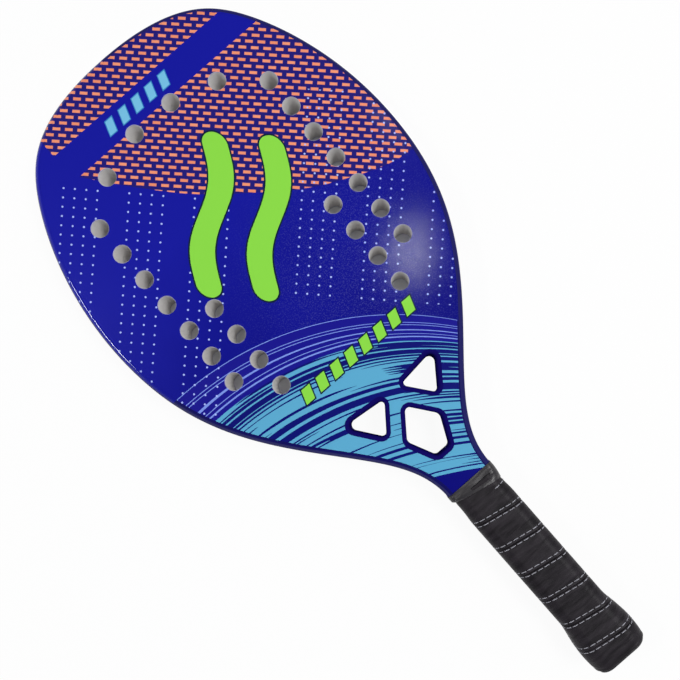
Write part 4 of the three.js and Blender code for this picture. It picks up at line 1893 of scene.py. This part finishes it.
@dataclass(frozen=True)
class StitchThread(Finish):
    """Grey polyester sewing thread."""

    name: str = "polyester_thread"
    grey: str = "#9C9CA4"
    roughness: float = 0.7

    def inputs(self, tree: Tree) -> dict:
        """The thread."""
        return {"Base Color": linear_colour(self.grey), "Roughness": self.roughness}


@dataclass(frozen=True)
class FinishingTape(Finish):
    """Black vinyl stretch tape: smooth and a little shinier than the grip, drawn into soft slanted folds.

    Attributes:
        name: the material's name.
        black: its colour.
        slant: how far its folds are turned.
        fold: their size.
        across: how it is stretched along and across them.
        rise: how far they stand out.
        roughness: the tape's roughness.
        gloss: its specular level.
    """

    name: str = "vinyl_tape"
    black: str = "#262327"
    slant: float = 25.0
    fold: float = 7.0
    across: Triple = (0.35, 1.6, 1.0)
    rise: float = 2.2
    roughness: float = 0.42
    gloss: float = 0.62

    def inputs(self, tree: Tree) -> dict:
        """The tape with its folds."""
        place = add_node(tree, "TexCoord").outputs["Object"]
        turn = (0.0, 0.0, math.radians(self.slant))
        along = add_node(tree, "Mapping", (place, (0.0, 0.0, 0.0), turn, Vector(self.across) * (1 / MM)))
        return {
            "Base Color": linear_colour(self.black),
            "Roughness": self.roughness,
            "Specular IOR Level": self.gloss,
            "Normal": noise_relief(tree, along, self.fold, detail=1.0, strength=1.0, rise=self.rise),
        }


@dataclass(frozen=True)
class PlainFinish(Finish):
    """An inner piece's even finish, or the moulded cap's.

    Attributes:
        name: the material's name.
        node: the CAD node that it dresses.
        colour: its colour.
        roughness: its roughness.
        grit: the size of its moulded or foamed texture.
    """

    name: str
    node: str
    colour: str
    roughness: float
    grit: float

    def inputs(self, tree: Tree) -> dict:
        """The finish with its texture."""
        place = add_node(tree, "TexCoord").outputs["Object"]
        return {
            "Base Color": linear_colour(self.colour),
            "Roughness": self.roughness,
            "Normal": noise_relief(tree, place, self.grit * MM, detail=2.0, strength=0.2, rise=0.1),
        }


MOULDED_CAP = PlainFinish("moulded_nylon", "butt_cap", "#1B1A1D", roughness=0.5, grit=0.4)
INNER_FINISHES = (
    PlainFinish("foamed_rubber", "grip_underlay", "#1E1E20", roughness=0.9, grit=0.5),
    PlainFinish("bare_laminate", "handle_sleeve", "#25272B", roughness=0.5, grit=0.8),
    PlainFinish("rigid_foam", "handle_filler", "#D8D2C0", roughness=0.9, grit=0.5),
)


@dataclass(frozen=True)
class Lamp:
    """A soft rectangular lamp. Its places and sizes are in metres.

    Attributes:
        name: the lamp's name.
        place: where it hangs.
        size: its sides. The second one points towards the aim.
        power: in watts.
        aim: the point that it faces.
    """

    name: str
    place: Triple
    size: Pair
    power: float
    aim: Triple = (0.0, 0.05, 0.0)

    def hang(self) -> None:
        """Hangs the lamp."""
        deselect_all()
        bpy.ops.object.light_add(type="AREA", location=self.place)
        lamp = bpy.context.object
        lamp.name = self.name
        lamp.data.shape = "RECTANGLE"
        lamp.data.size, lamp.data.size_y = self.size
        lamp.data.energy = self.power
        lamp.rotation_euler = (Vector(self.aim) - Vector(self.place)).to_track_quat("-Z", "Y").to_euler()


@dataclass
class Studio:
    """The pale floor, the soft lights and the camera.

    Attributes:
        levels: where the racket lies.
        floor_size: the floor's side.
        floor_colour: its paint.
        tilt: the floor's slope in degrees, so that the racket rests on its heel and on the edge of its tip.
        heel_rest: the height at which the heel touches the floor.
        shade_height: the height of the middle of the part of the floor that the head shades.
        shade_half: half that part's width and length.
        shade_rim: where its soft rim starts and ends, as shares of those.
        white_shares: how white the camera sees the floor there, and elsewhere.
        room_colour: the room's walls.
        ceiling: the heights in the room's sphere between which the walls pass into the dark ceiling.
        room_levels: the brightness of the walls and of the ceiling.
        lamps: two soft lamps, and two small ones that draw the lacquer's highlights.
        picture: the side of the square picture in pixels.
        focal: the lens's focal length in pixels.
        axis_pixel: where the lens's axis meets the picture, from its top left corner.
        eye: the camera's place across, above the butt and above the front face.
        roll: the camera's roll in degrees.
        nearest: the nearest that it sees.
        sensor: the width of its sensor.
    """

    levels: Levels
    floor_size: float = 6000.0
    floor_colour: str = "#F2F2F2"
    tilt: float = 0.66
    heel_rest: float = 15.0
    shade_height: float = 352.0
    shade_half: Pair = (100.0, 116.0)
    shade_rim: Pair = (0.92, 1.0)
    white_shares: Pair = (0.05, 0.94)
    room_colour: str = "#F4F6FA"
    ceiling: Pair = (0.68, 0.79)
    room_levels: Pair = (0.5, 0.04)
    lamps: tuple[Lamp, ...] = (
        Lamp("key_lamp", (0.6, -0.45, 1.38), size=(0.6, 0.5), power=13.5),
        Lamp("rim_lamp", (-0.765, 0.72, 1.35), size=(0.42, 0.12), power=6.5),
        Lamp("edge_lamp", (0.63, 0.58, 1.35), size=(0.15, 0.15), power=1.0),
        Lamp("glow_lamp", (0.279, 0.242, 1.23), size=(0.045, 0.12), power=0.29, aim=(0.077, 0.021, 0.0)),
    )
    picture: float = 680.0
    focal: float = 636.6
    axis_pixel: Pair = (400.0, 410.0)
    eye: Triple = (-3.9, 209.6, 400.0)
    roll: float = -41.23
    nearest: float = 10.0
    sensor: float = 36.0

    def floor_paint(self) -> Material:
        """The floor's paint, nearly white to the camera and in reflections, but shaded under the head."""
        material = bpy.data.materials.new("pale_paint")
        tree = empty_tree(material)
        path = add_node(tree, "LightPath")
        seen = path.outputs["Is Camera Ray"]
        for ray in ("Is Glossy Ray", "Is Transmission Ray"):
            seen = add_node(tree, "Math", (seen, path.outputs[ray]), operation="MAXIMUM")
        place = add_node(tree, "TexCoord").outputs["Object"]
        middle = (0, self.levels.along(self.shade_height), 0)
        scale = (self.shade_half[0] * MM, self.shade_half[1] * MM, 1)
        from_head = add_node(tree, "Mapping", (place, middle, (0, 0, 0), scale), vector_type="TEXTURE")
        reach = add_node(tree, "VectorMath", (from_head,), operation="LENGTH")
        clear = add_node(tree, "MapRange", (reach, *self.shade_rim, *self.white_shares))
        share = add_node(tree, "Math", (seen, clear), operation="MULTIPLY")
        paint = add_node(tree, "BsdfDiffuse", (linear_colour(self.floor_colour),))
        white = add_node(tree, "Emission", {"Strength": 1.0})
        add_node(tree, "OutputMaterial", (add_node(tree, "MixShader", (share, paint, white)),))
        return material

    def floor(self) -> None:
        """Lays the floor, which keeps the racket's shadow."""
        deselect_all()
        bpy.ops.mesh.primitive_grid_add(x_subdivisions=2, y_subdivisions=2, size=self.floor_size * MM)
        floor = bpy.context.object
        floor.name = "studio_floor"
        slope = Matrix.Rotation(math.radians(self.tilt), 4, "X")
        rest = Vector((0, self.levels.along(self.heel_rest), 0))
        floor.data.transform(Matrix.Translation(rest) @ slope)
        dress(floor, self.floor_paint())

    def room(self) -> None:
        """A room with pale walls. Its ceiling is dark over the camera."""
        world = bpy.data.worlds.new("studio_room")
        tree = empty_tree(world)
        parts = add_node(tree, "SeparateXYZ", (add_node(tree, "TexCoord").outputs["Generated"],))
        level = add_node(tree, "MapRange", (parts.outputs["Z"], *self.ceiling, *self.room_levels))
        walls = add_node(tree, "Background", (linear_colour(self.room_colour), level))
        add_node(tree, "OutputWorld", (walls,))
        bpy.context.scene.world = world

    def camera(self) -> None:
        """Sets the camera where the photograph was taken from, looking straight down."""
        deselect_all()
        across, height, above = self.eye
        place = Vector((across * MM, self.levels.along(height), self.levels.front + above * MM))
        bpy.ops.object.camera_add(location=place, rotation=(0, 0, math.radians(self.roll)))
        camera = bpy.context.object
        camera.name = "studio_camera"
        camera.data.sensor_width = self.sensor
        camera.data.lens = self.focal / self.picture * self.sensor
        camera.data.shift_x = 0.5 - self.axis_pixel[0] / self.picture
        camera.data.shift_y = self.axis_pixel[1] / self.picture - 0.5
        camera.data.clip_start = self.nearest * MM
        bpy.context.scene.camera = camera

    def build(self) -> None:
        """Builds the studio."""
        self.camera()
        self.floor()
        self.room()
        for lamp in self.lamps:
            lamp.hang()
        bpy.context.scene.view_settings.view_transform = "Standard"


def main() -> None:
    """Loads the construction and builds everything over it."""
    logging.basicConfig(level=logging.INFO, format="%(message)s")
    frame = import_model()
    levels = Levels.of_frame()
    Studio(levels).build()
    Head(levels).build()
    Grip(levels).build()
    for finish in INNER_FINISHES:
        dress(frame["nodes"][finish.node], finish.material())
        LOG.info("finish %s on %s", finish.name, finish.node)


if __name__ == "__main__":
    main()
